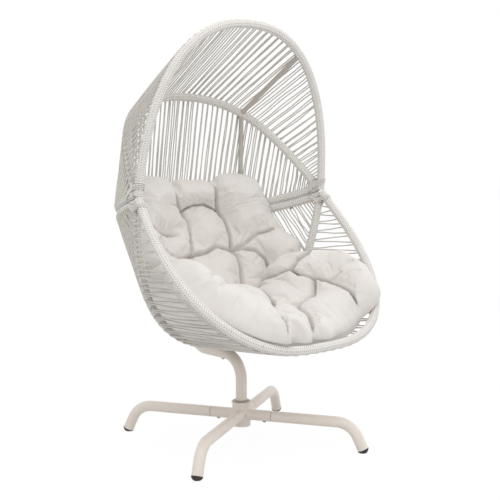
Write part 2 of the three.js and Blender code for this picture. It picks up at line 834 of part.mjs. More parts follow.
// Saddles that keep the tubes apart where the cords pass.
const fatKeel = rod(
  new THREE.Vector3(0, stayApex.y - 2 * postRadius, keelHeight),
  new THREE.Vector3(0, stayApex.y + 2 * postRadius, keelHeight),
  postRadius + seatGap,
  hubSides,
);
const keelSaddle = cut(
  rod(new THREE.Vector3(0, stayApex.y, keelHeight), stayApex, saddleRadius, sleeveSides),
  fatKeel,
  fatHoop("basketStay"),
  keelHole,
);
const tongueFront = tongueBolt.clone().addScaledVector(mastBack, -mastTongueThick / 2 - seatGap);
const mastSaddle = cut(
  rod(tongueFront, railApex, saddleRadius, sleeveSides),
  fatHoop("basketRail"),
  mastHole,
);
addMesh("keel_saddle", keelSaddle, "coat");
addMesh("mast_saddle", mastSaddle, "coat");

// Swivel bearing: the spindle is bolted in the post and turns in two bushes in the hub.
const spindleTap = rod(
  new THREE.Vector3(0, 0, spindleBottom - overrun),
  new THREE.Vector3(0, 0, spindleBottom + 3 * boltRadius + seatGap),
  boltRadius + seatGap,
);
const spindleRod = turned(
  [
    [0, spindleBottom],
    [spindleRadius, spindleBottom],
    [spindleRadius, spindleTop],
    [0, spindleTop],
  ],
);
addMesh("spindle", cut(spindleRod, postHole, spindleTap), "zinc");
const bushOuter = hubBore - seatGap;
addMesh("bush_lower", sleeve(bushOuter, bushBore, spindleBottom, spindleBottom + bushLength), "nylon");
addMesh("bush_upper", sleeve(bushOuter, bushBore, hubTop - bushLength, hubTop), "nylon");
const thrustBottom = hubTop + seatGap;
const thrust = sleeve(hubRadius - thrustInset, bushBore, thrustBottom, thrustBottom + thrustThick);
addMesh("thrust_washer", thrust, "nylon");
const keeperTop = spindleBottom - seatGap;
const keeper = sleeve(hubBore - keeperClear, boltRadius + seatGap, keeperTop - keeperThick, keeperTop);
addMesh("spindle_keeper", keeper, "zinc");
const keeperBoltPlace = new THREE.Vector3(0, 0, keeperTop - keeperThick - seatGap);
const keeperBolt = bigBolt(keeperThick + 2 * seatGap + 2 * boltRadius);
addMesh("keeper_bolt", aim(keeperBolt, keeperBoltPlace, upward), "zinc");

// Base: hub weldment, legs with necks in its stubs, rubber caps and clamping bolts.
const stubBore = legRadius - legWall - seatGap;
const hubBody = turned(
  [
    [0, hubBottom],
    [hubRadius, hubBottom],
    [hubRadius, hubTop - hubLipHeight],
    [hubRadius + hubLipReach, hubTop - hubLipHeight],
    [hubRadius + hubLipReach, hubTop],
    [0, hubTop],
  ],
);
const outAlong = (turn, reach, height) =>
  new THREE.Vector3(reach * Math.sin(turn), -reach * Math.cos(turn), height);
const legTurns = Array.from({ length: legCount }, (_, i) => radians(baseTurn + (360 / legCount) * i));
const legBoltSeat = legHeight - legRadius - seatGap;
const legBoltLength = legRadius;
const legHole = (turn) =>
  rod(
    outAlong(turn, legBoltReach, legBoltSeat - overrun),
    outAlong(turn, legBoltReach, legBoltSeat + legBoltLength + 2 * seatGap),
    boltRadius + seatGap,
  );
const stubs = legTurns.map((turn) =>
  rod(outAlong(turn, 0, legHeight), outAlong(turn, stubReach, legHeight), legRadius),
);
const stubBores = legTurns.map((turn) =>
  rod(
    outAlong(turn, stubReach - spigotLength - overrun, legHeight),
    outAlong(turn, stubReach + overrun, legHeight),
    stubBore,
  ),
);
const axisBore = turned(
  [
    [0, hubBottom - overrun],
    [hubBore, hubBottom - overrun],
    [hubBore, hubTop + overrun],
    [0, hubTop + overrun],
  ],
);
const hub = cut(join(hubBody, ...stubs), axisBore, ...stubBores, ...legTurns.map(legHole));
addMesh("base_hub", hub, "coat");

class LegCurve extends SteppedCurve {
  // Level run, a bend down and a short straight end, in the leg's own upright plane.
  constructor(turn, from, endHeight) {
    super([1, bendSteps, 1]);
    this.turn = turn;
    this.from = from;
    const drop = radians(legDrop);
    const bendDrop = legBend * (1 - Math.cos(drop));
    const whole = (legHeight - bendDrop) / Math.sin(drop);
    this.bendStart = footReach - legBend * Math.sin(drop) - whole * Math.cos(drop);
    const tail = (legHeight - bendDrop - endHeight) / Math.sin(drop);
    this.runs = [this.bendStart - from, legBend * drop, tail];
  }

  getPoint(t, target = new THREE.Vector3()) {
    const [run, along] = this.locate(t);
    if (run === 0) return target.copy(outAlong(this.turn, this.from + along, legHeight));
    const angle = run === 1 ? along / legBend : radians(legDrop);
    const tail = run === 1 ? 0 : along;
    const reach = this.bendStart + legBend * Math.sin(angle) + tail * Math.cos(angle);
    const height = legHeight - legBend * (1 - Math.cos(angle)) - tail * Math.sin(angle);
    return target.copy(outAlong(this.turn, reach, height));
  }
}

const legEndHeight = capSole * Math.sin(radians(legDrop));
const legSeam = stubReach + seatGap;
const floorBlock = new THREE.BoxGeometry(4 * footReach, 4 * footReach, footReach);
floorBlock.translate(0, 0, -footReach / 2);

function leg(turn) {
  const path = new LegCurve(turn, legSeam, legEndHeight);
  const body = tube(path, legRadius, path.steps, tubeSides, legRadius - legWall);
  const neckRadius = stubBore - seatGap;
  const neck = rod(
    outAlong(turn, stubReach - spigotLength, legHeight),
    outAlong(turn, legSeam + legWall / 2, legHeight),
    neckRadius,
    tubeSides,
    neckRadius - legWall,
  );
  const weld = rod(
    outAlong(turn, legSeam, legHeight),
    outAlong(turn, legSeam + legWall, legHeight),
    legRadius - legWall / 2,
  );
  return cut(join(body, neck, weld), legHole(turn));
}

function footCap(turn) {
  const path = new LegCurve(turn, legSeam, legEndHeight);
  const end = path.getPoint(1);
  const down = end.clone().sub(path.getPoint(0.99)).normalize();
  const outer = legRadius + seatGap + capWall;
  const solid = turned(
    [
      [0, seatGap],
      [legRadius + seatGap, seatGap],
      [legRadius + seatGap, -capSleeve],
      [outer, -capSleeve],
      [outer, 2 * capSole],
      [0, 2 * capSole],
    ],
    capSides,
  );
  return cut(aim(solid, end, down), floorBlock);
}

legTurns.forEach((turn, i) => {
  addMesh(`leg_${i + 1}`, leg(turn), "coat");
  addMesh(`foot_cap_${i + 1}`, footCap(turn), "rubber");
  const seat = outAlong(turn, legBoltReach, legBoltSeat);
  addMesh(`leg_bolt_${i + 1}`, aim(bigBolt(legBoltLength), seat, upward), "zinc");
});

export default group;
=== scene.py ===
import math

import bpy
import mathutils
import numpy as np
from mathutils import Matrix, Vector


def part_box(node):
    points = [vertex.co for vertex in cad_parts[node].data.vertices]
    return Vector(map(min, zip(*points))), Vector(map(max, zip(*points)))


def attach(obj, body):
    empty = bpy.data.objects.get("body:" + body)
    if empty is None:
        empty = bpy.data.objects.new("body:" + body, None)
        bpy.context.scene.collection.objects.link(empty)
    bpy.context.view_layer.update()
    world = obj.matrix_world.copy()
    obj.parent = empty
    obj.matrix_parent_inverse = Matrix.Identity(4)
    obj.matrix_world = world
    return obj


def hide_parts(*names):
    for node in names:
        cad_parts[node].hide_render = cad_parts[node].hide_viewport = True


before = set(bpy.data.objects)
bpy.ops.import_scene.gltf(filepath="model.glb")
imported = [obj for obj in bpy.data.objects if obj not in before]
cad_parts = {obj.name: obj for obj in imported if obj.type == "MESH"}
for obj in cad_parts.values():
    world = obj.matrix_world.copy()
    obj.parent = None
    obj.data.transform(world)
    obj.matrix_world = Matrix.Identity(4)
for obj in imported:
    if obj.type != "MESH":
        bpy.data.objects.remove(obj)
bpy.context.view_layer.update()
scene = bpy.context.scene
mm = 0.001

# Camera
# A short telephoto lens a little above the chair's corners, ahead of the chair and to its right as
# it faces, that looks slightly down.
camera_dip = math.radians(5.78)
camera_turn = math.radians(-42)
camera_data = bpy.data.cameras.new("camera")
camera_data.sensor_width = 36
camera_data.lens = 71.35
camera = bpy.data.objects.new("camera", camera_data)
camera.location = (-2.404, -2.718, 1.088)
camera.rotation_euler = (math.pi / 2 - camera_dip, 0, camera_turn)
scene.collection.objects.link(camera)
scene.camera = camera


# Studio
# A wide pale floor in an even white room, with a large soft lamp ahead and two more at the side
# and overhead. The camera, and what shines, sees room and floor as near white, while the light
# that falls on the chair comes from their real shade.
def linear(code):
    """The linear colour, with its alpha, of an sRGB hex code."""
    shades = [int(code[i : i + 2], 16) / 255 for i in (1, 3, 5)]
    return [c / 12.92 if c <= 0.04045 else ((c + 0.055) / 1.055) ** 2.4 for c in shades] + [1]


def add_node(tree, kind, settings=None, links=None):
    """A node of a material, with its settings or fixed inputs and the sockets that feed it.

    A Mix node of colours takes its share at input 0 and its colours at 6 and 7, and gives output 2.
    """
    node = tree.nodes.new(kind)
    for key, value in (settings or {}).items():
        if isinstance(key, str) and hasattr(node, key):
            setattr(node, key, value)
        else:
            node.inputs[key].default_value = value
    for key, socket in (links or {}).items():
        tree.links.new(socket, node.inputs[key])
    return node


def seen_directly(tree):
    """One for the camera's rays and for those that gloss or glass sends on, zero for the rest."""
    path = add_node(tree, "ShaderNodeLightPath").outputs
    highest = {"operation": "MAXIMUM"}
    first = {0: path["Is Camera Ray"], 1: path["Is Glossy Ray"]}
    gloss = add_node(tree, "ShaderNodeMath", highest, first).outputs[0]
    second = {0: gloss, 1: path["Is Transmission Ray"]}
    return add_node(tree, "ShaderNodeMath", highest, second).outputs[0]


room_level = 0.84
world = bpy.data.worlds.new("white_room")
world.use_nodes = True
world.node_tree.nodes.clear()
room, white = (
    add_node(world.node_tree, "ShaderNodeBackground", {"Color": linear("#FFFFFF"), "Strength": level})
    for level in (room_level, 1)
)
shown = {0: seen_directly(world.node_tree), 1: room.outputs[0], 2: white.outputs[0]}
mixed = add_node(world.node_tree, "ShaderNodeMixShader", None, shown)
add_node(world.node_tree, "ShaderNodeOutputWorld", None, {"Surface": mixed.outputs[0]})
scene.world = world
scene.view_settings.view_transform = "Standard"

floor_radius = 30
floor_sides = 96
floor_turns = [2 * math.pi * i / floor_sides for i in range(floor_sides)]
floor_points = [(floor_radius * math.cos(t), floor_radius * math.sin(t), 0) for t in floor_turns]
floor_mesh = bpy.data.meshes.new("floor")
floor_mesh.from_pydata(floor_points, [], [list(range(floor_sides))])
floor = bpy.data.objects.new("floor", floor_mesh)
scene.collection.objects.link(floor)
paint = bpy.data.materials.new("white_floor_paint")
paint.use_nodes = True
paint.node_tree.nodes.clear()
floor_shade = add_node(paint.node_tree, "ShaderNodeBsdfDiffuse", {"Color": linear("#DFDFDF")})
glow_level = 1.04
glow_share = 0.9
white_light = {"Color": linear("#FFFFFF"), "Strength": glow_level}
floor_glow = add_node(paint.node_tree, "ShaderNodeEmission", white_light)
glow = add_node(
    paint.node_tree,
    "ShaderNodeMath",
    {"operation": "MULTIPLY", 1: glow_share},
    {0: seen_directly(paint.node_tree)},
)
floor_mix = {0: glow.outputs[0], 1: floor_shade.outputs[0], 2: floor_glow.outputs[0]}
floor_surface = add_node(paint.node_tree, "ShaderNodeMixShader", None, floor_mix)
add_node(paint.node_tree, "ShaderNodeOutputMaterial", None, {"Surface": floor_surface.outputs[0]})
floor_mesh.materials.append(paint)

chair_middle = (0, 0, 0.8)
lamps = [  # name, place, metres across, watts
    ("key_lamp", (-1.6, -2.6, 3.6), 2.4, 43),
    ("side_lamp", (3.4, -1.2, 2.2), 2.0, 20),
    ("top_lamp", (0.2, 0.4, 4.2), 2.6, 26),
]
for name, place, size, watts in lamps:
    light = bpy.data.lights.new(name, "AREA")
    light.size = size
    light.energy = watts
    lamp = bpy.data.objects.new(name, light)
    lamp.location = place
    way = np.array(chair_middle) - np.array(place)
    level = math.hypot(way[0], way[1])
    lamp.rotation_euler = (math.atan2(level, -way[2]), 0, math.atan2(-way[0], way[1]))
    scene.collection.objects.link(lamp)

# Base hub
# A turned steel boss with a lip at its top and four short stubs welded to it, 30 degrees round
# from straight ahead. It is one weldment under a satin powder coat.
hub_bottom = 62 * mm
hub_top = 154 * mm
hub_radius = 34.3 * mm
hub_bore = 23.5 * mm
hub_lip_reach = 3 * mm
hub_lip_height = 6 * mm
hub_rounding = 1.5 * mm
hub_sides = 96
leg_radius = 20 * mm
leg_chamfer = 0.8 * mm
leg_height = 105 * mm
stub_reach = 118 * mm
stub_sides = 64
stub_root = math.sqrt(hub_radius**2 - leg_radius**2) - 2 * mm
weld_bead = 4.5 * mm
weld_steps = [(1, 0), (1, 4 * mm), (0.6, 7 * mm), (0, 11 * mm)]  # height in beads, way from the root
base_turn = math.radians(30)
leg_turns = [base_turn + math.pi / 2 * i for i in range(4)]


def new_finish(name):
    """An empty material, and the place of a point on its piece."""
    finish = bpy.data.materials.new(name)
    finish.use_nodes = True
    finish.node_tree.nodes.clear()
    return finish, finish.node_tree, add_node(finish.node_tree, "ShaderNodeTexCoord")


def end_finish(tree, even, fed):
    """Ends a material with its shader, which has even values and sockets that are fed."""
    shader = add_node(tree, "ShaderNodeBsdfPrincipled", even, fed)
    add_node(tree, "ShaderNodeOutputMaterial", None, {"Surface": shader.outputs[0]})


def mottled(name, low, high, cloud, grain, even):
    """Two close shades in clouds, a (size, detail), with the relief of a grain, (size, detail, bump)."""
    finish, tree, place = new_finish(name)
    on_piece = {"Vector": place.outputs["Object"]}
    size, detail = cloud
    tone = add_node(tree, "ShaderNodeTexNoise", {"Scale": 1 / size, "Detail": detail}, on_piece)
    shades = {"data_type": "RGBA", 6: linear(low), 7: linear(high)}
    colour = add_node(tree, "ShaderNodeMix", shades, {0: tone.outputs["Fac"]})
    fed = {"Base Color": colour.outputs[2]}
    if grain:
        size, detail, bump = grain
        fine = add_node(tree, "ShaderNodeTexNoise", {"Scale": 1 / size, "Detail": detail}, on_piece)
        fed["Normal"] = add_node(tree, "ShaderNodeBump", bump, {"Height": fine.outputs["Fac"]}).outputs[0]
    end_finish(tree, even, fed)
    return finish


# Polyester powder coat, baked on steel: satin, with the faint dimples of orange peel.
coat_clouds = (60 * mm, 3)
orange_peel = (3.5 * mm, 2, {"Strength": 0.12, "Distance": 0.2 * mm})
satin = {"Roughness": 0.42, "IOR": 1.5}
coat = mottled("polyester_powder_coat_greige", "#E0D6CC", "#E7DED5", coat_clouds, orange_peel, satin)


def unit(vectors):
    """The same vectors, each with length one."""
    return vectors / np.linalg.norm(vectors, axis=-1, keepdims=True)


edge_angle = 40
fine_edge_angle = 30
no_edge_angle = 180


def add_piece(name, points, faces, finish, body, slot, nodes=(), sharp=edge_angle):
    """A piece from its points and faces, faced outwards, that rides on a body."""
    points = np.asarray(points, float)
    volume = 0
    for size in (3, 4):
        flat = np.array([f for f in faces if len(f) == size])
        for k in range(1, size - 1) if len(flat) else ():
            a, b, c = points[flat[:, 0]], points[flat[:, k]], points[flat[:, k + 1]]
            volume += (a * np.cross(b, c)).sum()
    if volume < 0:
        faces = [f[::-1] for f in faces]
    mesh = bpy.data.meshes.new(name)
    mesh.from_pydata(points.tolist(), [], faces)
    mesh.shade_smooth()
    mesh.set_sharp_from_angle(angle=math.radians(sharp))
    mesh.materials.append(finish)
    piece = bpy.data.objects.new(name, mesh)
    scene.collection.objects.link(piece)
    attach(piece, body)
    if nodes:
        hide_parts(*nodes)
    return piece


def skin(rings, start=0):
    """The faces over rings of points, each ring closed on itself, with both ends capped."""
    count, sides = rings
    corner = start + np.arange(count * sides).reshape(count, sides)
    near, far = corner[:-1], corner[1:]
    quads = np.stack([near, np.roll(near, -1, 1), np.roll(far, -1, 1), far], -1)
    caps = [corner[0][::-1].tolist(), corner[-1].tolist()]
    return quads.reshape(-1, 4).tolist() + caps


def sweep(line, radius, sides, up):
    """Rings round a line of points; up is the way from the line to each ring's first point."""
    line = np.asarray(line, float)
    way = unit(np.gradient(line, axis=0))
    side = unit(np.cross(way, np.broadcast_to(up, line.shape)))
    lift = np.cross(side, way)
    turn = np.arange(sides) * 2 * math.pi / sides
    spoke = np.cos(turn)[None, :, None] * lift[:, None] + np.sin(turn)[None, :, None] * side[:, None]
    rows = len(line) if np.size(radius) > 1 else 1
    radius = np.broadcast_to(np.asarray(radius, float).reshape(rows, -1), (len(line), sides))
    return line[:, None] + spoke * radius[..., None]


least_radius = 0.001 * mm
off_axis = [0.3, 1, 0.2]  # a way that no turned shape's axis lies along


def lathe(profile, sides, foot, up):
    """Rings of a turned shape: (radius, height) pairs from one end of its axis to the other."""
    up = unit(np.array(up, float))
    aside = unit(np.cross(up, off_axis))
    third = np.cross(up, aside)
    turn = np.arange(sides) * 2 * math.pi / sides
    spoke = np.cos(turn)[:, None] * aside + np.sin(turn)[:, None] * third
    foot = np.array(foot)
    rings = [foot + height * up + max(radius, least_radius) * spoke for radius, height in profile]
    return np.array(rings)


def out_along(turn, reach, height):
    """A point at a reach from the swivel axis, along a leg."""
    return np.array([reach * math.sin(turn), -reach * math.cos(turn), height])


def joined(*shapes):
    """One list of points and one of faces, from several sets of rings."""
    points, faces = [], []
    for rings in shapes:
        faces += skin(rings.shape[:2], sum(len(p) for p in points))
        points.append(rings.reshape(-1, 3))
    return np.concatenate(points), faces


def rounded(profile, radius, steps=4):
    """A profile with each inner corner rounded by a short arc."""
    smooth = [profile[0]]
    for before, corner, after in zip(profile, profile[1:], profile[2:]):
        before, corner, after = (np.array(p, float) for p in (before, corner, after))
        near, far = before - corner, after - corner
        cut = min(radius, np.linalg.norm(near) / 2, np.linalg.norm(far) / 2)
        start, end = corner + unit(near) * cut, corner + unit(far) * cut
        for i in range(steps + 1):
            t = i / steps
            smooth.append(tuple((1 - t) ** 2 * start + 2 * t * (1 - t) * corner + t**2 * end))
    return smooth + [profile[-1]]


hub_profile = rounded(
    [
        (hub_bore, hub_bottom),
        (hub_radius, hub_bottom),
        (hub_radius, hub_top - hub_lip_height),
        (hub_radius + hub_lip_reach, hub_top - hub_lip_height),
        (hub_radius + hub_lip_reach, hub_top),
        (hub_bore, hub_top),
    ],
    hub_rounding,
)
hub_rings = lathe(hub_profile + [hub_profile[0]], hub_sides, (0, 0, 0), (0, 0, 1))
stub_profile = [(0, stub_root)]
stub_profile += [(leg_radius + weld_bead * beads, stub_root + reach) for beads, reach in weld_steps]
stub_profile += [(leg_radius, stub_reach - leg_chamfer), (leg_radius - leg_chamfer, stub_reach)]
stub_profile += [(0, stub_reach)]
stubs = [lathe(stub_profile, stub_sides, (0, 0, leg_height), out_along(turn, 1, 0)) for turn in leg_turns]
corners = np.arange(hub_rings.shape[0] * hub_sides).reshape(hub_rings.shape[:2])
hub_faces = []
for ring, after in zip(corners[:-1], corners[1:]):
    hub_faces += np.stack([ring, np.roll(ring, -1), np.roll(after, -1), after], -1).tolist()
stub_points, stub_faces = joined(*stubs)
shift = len(hub_rings) * hub_sides
hub_points = np.concatenate([hub_rings.reshape(-1, 3), stub_points])
hub_faces += [[c + shift for c in face] for face in stub_faces]
add_piece("hub_weldment", hub_points, hub_faces, coat, "base", "coat", ["base_hub"])

# Legs
# Four steel tubes of 40 mm that run level out of the stubs and bend down to the floor. Each has
# a neck inside its stub, held by a bolt from below, so that a thin dark seam shows between them.
leg_bend = 85 * mm
leg_drop = math.radians(65)
foot_reach = 468 * mm
cap_sole = 13 * mm
leg_end_height = cap_sole * math.sin(leg_drop)
leg_seam = stub_reach + 2.2 * mm
seam_step = 0.1 * mm
leg_sides = 56
leg_bend_steps = 25
level_shares = (0.3, 0.6, 0.9)
tail_steps = 5
neck_radius = leg_radius - 5 * mm
neck_reach = stub_reach - 3 * mm
bend_drop = leg_bend * (1 - math.cos(leg_drop))
slope_length = (leg_height - bend_drop) / math.sin(leg_drop)
bend_start = foot_reach - leg_bend * math.sin(leg_drop) - slope_length * math.cos(leg_drop)
tail_length = (leg_height - bend_drop - leg_end_height) / math.sin(leg_drop)


def leg_line(turn):
    """The middle line of a leg, from its neck past its seam to its lower end."""
    starts = (neck_reach, leg_seam - seam_step, leg_seam, leg_seam + leg_chamfer)
    line = [out_along(turn, reach, leg_height) for reach in starts]
    level = bend_start - leg_seam
    line += [out_along(turn, leg_seam + level * share, leg_height) for share in level_shares]
    for angle in np.linspace(0, leg_drop, leg_bend_steps):
        reach = bend_start + leg_bend * math.sin(angle)
        line.append(out_along(turn, reach, leg_height - leg_bend * (1 - math.cos(angle))))
    for tail in np.linspace(0, tail_length, tail_steps)[1:]:
        reach = bend_start + leg_bend * math.sin(leg_drop) + tail * math.cos(leg_drop)
        line.append(out_along(turn, reach, leg_height - bend_drop - tail * math.sin(leg_drop)))
    return line


for i, turn in enumerate(leg_turns, 1):
    line = leg_line(turn)
    across = np.array([math.cos(turn), math.sin(turn), 0])
    radii = np.full(len(line), leg_radius)
    radii[:3] = neck_radius, neck_radius, leg_radius - leg_chamfer
    tube = joined(sweep(line, radii, leg_sides, across))
    add_piece(f"leg_tube_{i}", *tube, coat, "base", "coat", [f"leg_{i}"])

# Foot caps
# Moulded rubber glides that close the ends of the legs. Each is a shallow bowl cut level, so that
# it stands on a flat oval and shows as a dark crescent under the tube.
cap_radius = leg_radius + 0.7 * mm
cap_top = 0.3 * mm
cap_depth = 19 * mm
cap_bowl = [(0, 3), (3, 8), (8, 13), (14, 17)]  # millimetres in from the cap's radius, and down
cap_rounding = 2 * mm
cap_rounding_steps = 3
cap_profile = [(0, cap_top), (cap_radius, cap_top)]
cap_profile += [(cap_radius - inset * mm, depth * mm) for inset, depth in cap_bowl]
cap_profile = rounded(cap_profile + [(0, cap_depth)], cap_rounding, cap_rounding_steps)
# EPDM rubber, moulded: near black, matt, with fine grain from its mould.
mould_clouds = (1.2 * mm, 4)
mould_grain = (1.2 * mm, 4, {"Strength": 0.3, "Distance": 0.1 * mm})
matt = {"Roughness": 0.72, "IOR": 1.52}
black_rubber = mottled("epdm_rubber_moulded", "#252321", "#383532", mould_clouds, mould_grain, matt)
for i, turn in enumerate(leg_turns, 1):
    line = leg_line(turn)
    down = unit(line[-1] - line[-2])
    rings = lathe(cap_profile, leg_sides, line[-1], down)
    # What would pass the floor slides back up along the leg until it is level with the floor.
    low = rings[..., 2] < 0
    back = np.where(low, rings[..., 2] / down[2], 0)
    rings = rings - back[..., None] * down
    add_piece(f"foot_cup_{i}", *joined(rings), black_rubber, "base", "rubber", [f"foot_cap_{i}"])

# Bolts
# Domed M8 bolts of zinc-plated steel with a hexagon socket: one under each stub, one up through
# the keel, one through the mast's tongue and one in the back of the post.
head_radius = 7 * mm
head_height = 5 * mm
socket_radius = 2.9 * mm
socket_depth = 2.6 * mm
dome_start = 0.45  # the turn, from the axis, at which the dome ends in the socket's rim
dome_steps = 8
shank_radius = 4 * mm
bolt_sides = 36
# Zinc-plated steel, bright dipped and passivated: a grey metal with a soft, uneven sheen.
spangle = (4 * mm, 3)
dull_metal = {"Metallic": 1, "Roughness": 0.38}
zinc = mottled("zinc_plated_steel", "#85837F", "#A09E99", spangle, None, dull_metal)


def bolt_head(name, node, seat, into, body="seat"):
    """A domed head with its socket, on its shank, that stands for a bolt."""
    dome_turns = np.linspace(dome_start, math.pi / 2, dome_steps)
    dome = [(head_radius * math.sin(a), -head_height * math.cos(a)) for a in dome_turns]
    low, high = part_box(node)
    into = unit(np.array(into, float))
    length = max(abs(np.array(high - low) @ np.abs(into)) - head_height, 0)
    socket_rim = dome[0][1]
    socket_floor = socket_rim + socket_depth
    profile = [(0, socket_floor), (socket_radius, socket_floor), (socket_radius, socket_rim)]
    profile += dome + [(shank_radius, 0), (shank_radius, length), (0, length)]
    rings = lathe(profile, bolt_sides, seat, into)
    # The socket's wall is drawn out to a hexagon.
    turn = np.arange(bolt_sides) * 2 * math.pi / bolt_sides
    hexagon = 1 / np.cos((turn + math.pi / 6) % (math.pi / 3) - math.pi / 6)
    axis = np.array(seat) + np.array([height for _, height in profile])[:, None] * into
    for k in (1, 2):
        rings[k] = axis[k] + (rings[k] - axis[k]) * (hexagon / hexagon.max())[:, None]
    add_piece(name, *joined(rings), zinc, body, "zinc", [node], fine_edge_angle)


leg_bolt_reach = 90 * mm
joint_gap = 0.3 * mm
for i, turn in enumerate(leg_turns, 1):
    seat = out_along(turn, leg_bolt_reach, leg_height - leg_radius - joint_gap)
    bolt_head(f"stub_bolt_{i}", f"leg_bolt_{i}", seat, (0, 0, 1), body="base")

# Swivel bearing
# A turned steel spindle runs in two nylon bushes in the hub. A nylon washer carries the post, and
# a steel keeper is bolted to the spindle's foot. They keep their construction shapes.


def refinish(node, finish):
    """Gives a construction piece, as it stands, the finish of its real surface."""
    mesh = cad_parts[node].data
    mesh.materials.clear()
    mesh.materials.append(finish)
    mesh.shade_smooth()
    mesh.set_sharp_from_angle(angle=math.radians(fine_edge_angle))


# Nylon, turned from bar and dyed to go with the coat: waxy, with faint mottling.
tool_marks = (2 * mm, 2)
waxy = {"Roughness": 0.45, "IOR": 1.53}
greige_nylon = mottled("nylon_turned", "#A39B91", "#B0A89E", tool_marks, None, waxy)
for node in ("bush_lower", "bush_upper", "thrust_washer"):
    refinish(node, greige_nylon)
for node in ("spindle", "spindle_keeper", "keeper_bolt"):
    refinish(node, zinc)

# Hoops
# Six steel tubes in five arches that fan out from one corner on each side; the middle arch is a
# pair of rails bolted together. Each tube is covered with a stitched herringbone braid of cord.
half_width = 443 * mm
corner_y = 27 * mm
corner_z = 925 * mm
hoop_radius = 16 * mm
hoop_shapes = {  # reach, tilt in degrees, squareness, bulge
    "canopy_front": (613 * mm, 96.9, 2.28, -0.016),
    "canopy_mid": (482 * mm, 49.4, 2.21, -0.062),
    "rail": (395 * mm, -16.2, 2.06, -0.006),
    "stay": (565 * mm, -82.2, 2.35, -0.013),
    "basket_front": (675 * mm, -131.7, 3.07, 0.077),
}
rail_lift = hoop_radius + joint_gap / 2
table_steps = 4000


def hoop_table(shape, lift=0.0):
    """Points at equal lengths along a hoop's middle line, from the corner at +X to that at -X."""
    reach, tilt, squareness, bulge = shape
    turn = np.linspace(0, math.pi, table_steps + 1)
    tilt = math.radians(tilt)
    depth = np.abs(np.sin(turn)) ** (2 / squareness)
    across = np.sign(np.cos(turn)) * np.abs(np.cos(turn)) ** (2 / squareness)
    x = half_width * across * (1 + bulge * np.sin(math.pi * depth))
    y = corner_y + reach * depth * math.cos(tilt) - lift * math.sin(tilt)
    z = corner_z + reach * depth * math.sin(tilt) + lift * math.cos(tilt)
    points = np.stack([x, y, z], -1)
    length = np.concatenate([[0], np.cumsum(np.linalg.norm(np.diff(points, axis=0), axis=1))])
    even = np.linspace(0, length[-1], table_steps + 1)
    return np.stack([np.interp(even, length, points[:, k]) for k in range(3)], -1)


hoops = {name: hoop_table(shape) for name, shape in hoop_shapes.items() if name != "rail"}
hoops["canopy_rail"] = hoop_table(hoop_shapes["rail"], rail_lift)
hoops["basket_rail"] = hoop_table(hoop_shapes["rail"], -rail_lift)
hoop_lengths = {
    name: np.linalg.norm(np.diff(points, axis=0), axis=1).sum() for name, points in hoops.items()
}


def along(name, share):
    """The point of a hoop at a share of its length."""
    step = np.clip(np.asarray(share, float), 0, 1) * table_steps
    index = np.minimum(step.astype(int), table_steps - 1)
    part = (step - index)[..., None]
    return hoops[name][index] * (1 - part) + hoops[name][index + 1] * part


def heading(name, share):
    """The way along a hoop at a share of its length."""
    small = 0.001
    return unit(along(name, np.minimum(share + small, 1)) - along(name, np.maximum(share - small, 0)))


def polyester_cord(name, low, high, hollow_shade, gap):
    """Solution-dyed polyester cord, braided: matt, off-white, with painted shade in the hollows of its
    fine relief and in the gaps between stitches.
    """
    finish, tree, place = new_finish(name)
    strand = 3 * mm
    streak = 45 * mm
    on_piece = {"Vector": place.outputs["Object"]}
    fine = add_node(tree, "ShaderNodeTexNoise", {"Scale": 1 / strand, "Detail": 3}, on_piece)
    wide = add_node(tree, "ShaderNodeTexNoise", {"Scale": 1 / streak, "Detail": 4}, on_piece)
    shades = {"data_type": "RGBA", 6: linear(low), 7: linear(high)}
    base = add_node(tree, "ShaderNodeMix", shades, {0: wide.outputs["Fac"]})
    # Painted shade: the colour darkens towards the given shade where the fine noise, which is also the
    # relief's height, is lowest.
    gap_edge = {"From Min": 0.28, "From Max": 0.44}
    gaps = add_node(tree, "ShaderNodeMapRange", gap_edge, {"Value": fine.outputs["Fac"]})
    hollow_shade_mix = {"data_type": "RGBA", 6: linear(hollow_shade)}
    hollow_shaded = add_node(tree, "ShaderNodeMix", hollow_shade_mix, {0: gaps.outputs[0], 7: base.outputs[2]})
    # Painted shade: where a piece carries shade amounts between its stitches, the colour darkens towards
    # the last given shade.
    crevice_shade = add_node(tree, "ShaderNodeAttribute", {"attribute_name": "crevice_shade"})
    painted_shade_mix = {"data_type": "RGBA", 7: linear(gap)}
    shaded = add_node(tree, "ShaderNodeMix", painted_shade_mix, {0: crevice_shade.outputs["Fac"], 6: hollow_shaded.outputs[2]})
    bump = {"Strength": 0.45, "Distance": 0.5 * mm}
    relief = add_node(tree, "ShaderNodeBump", bump, {"Height": fine.outputs["Fac"]})
    even = {"Roughness": 0.82, "Sheen Weight": 0.15, "Sheen Roughness": 0.5}
    end_finish(tree, even, {"Base Color": shaded.outputs[2], "Normal": relief.outputs[0]})
    return finish


# The last two colours are painted shade: in the hollows of the relief, and in the gaps between stitches.
braid = polyester_cord("polyester_cord_braid", "#E1DED9", "#EDEAE6", "#B9B4AD", "#716A63")
braid_columns = 8
braid_pitch = 9 * mm
gap_shade_share = 0.12
braid_depth = 1.9 * mm
braid_slope = 0.9
braid_seam_power = 6
least_gap_shade = 0.35
ring_step = 1.5 * mm
hoop_sides = 48
braided_hoops = [  # piece, hoop, the node it replaces, where it starts, in radii from the corner
    ("front_canopy_arch", "canopy_front", "canopy_front_hoop", 0.45),
    ("middle_canopy_arch", "canopy_mid", "canopy_mid_hoop", 1.125),
    ("upper_rail_tube", "canopy_rail", "canopy_rail", 0.56),
    ("lower_rail_tube", "basket_rail", "basket_rail", 0.56),
    ("stay_arch", "stay", "basket_stay", 1.875),
    ("front_rim_arch", "basket_front", "basket_front_rim", 0.45),
]


def paint_shade(piece, shade_amounts):
    """Writes how much painted shade each point of a piece gets between the stitches, for the cord's
    material.
    """
    piece.data.attributes.new("crevice_shade", "FLOAT", "POINT").data.foreach_set("value", shade_amounts)


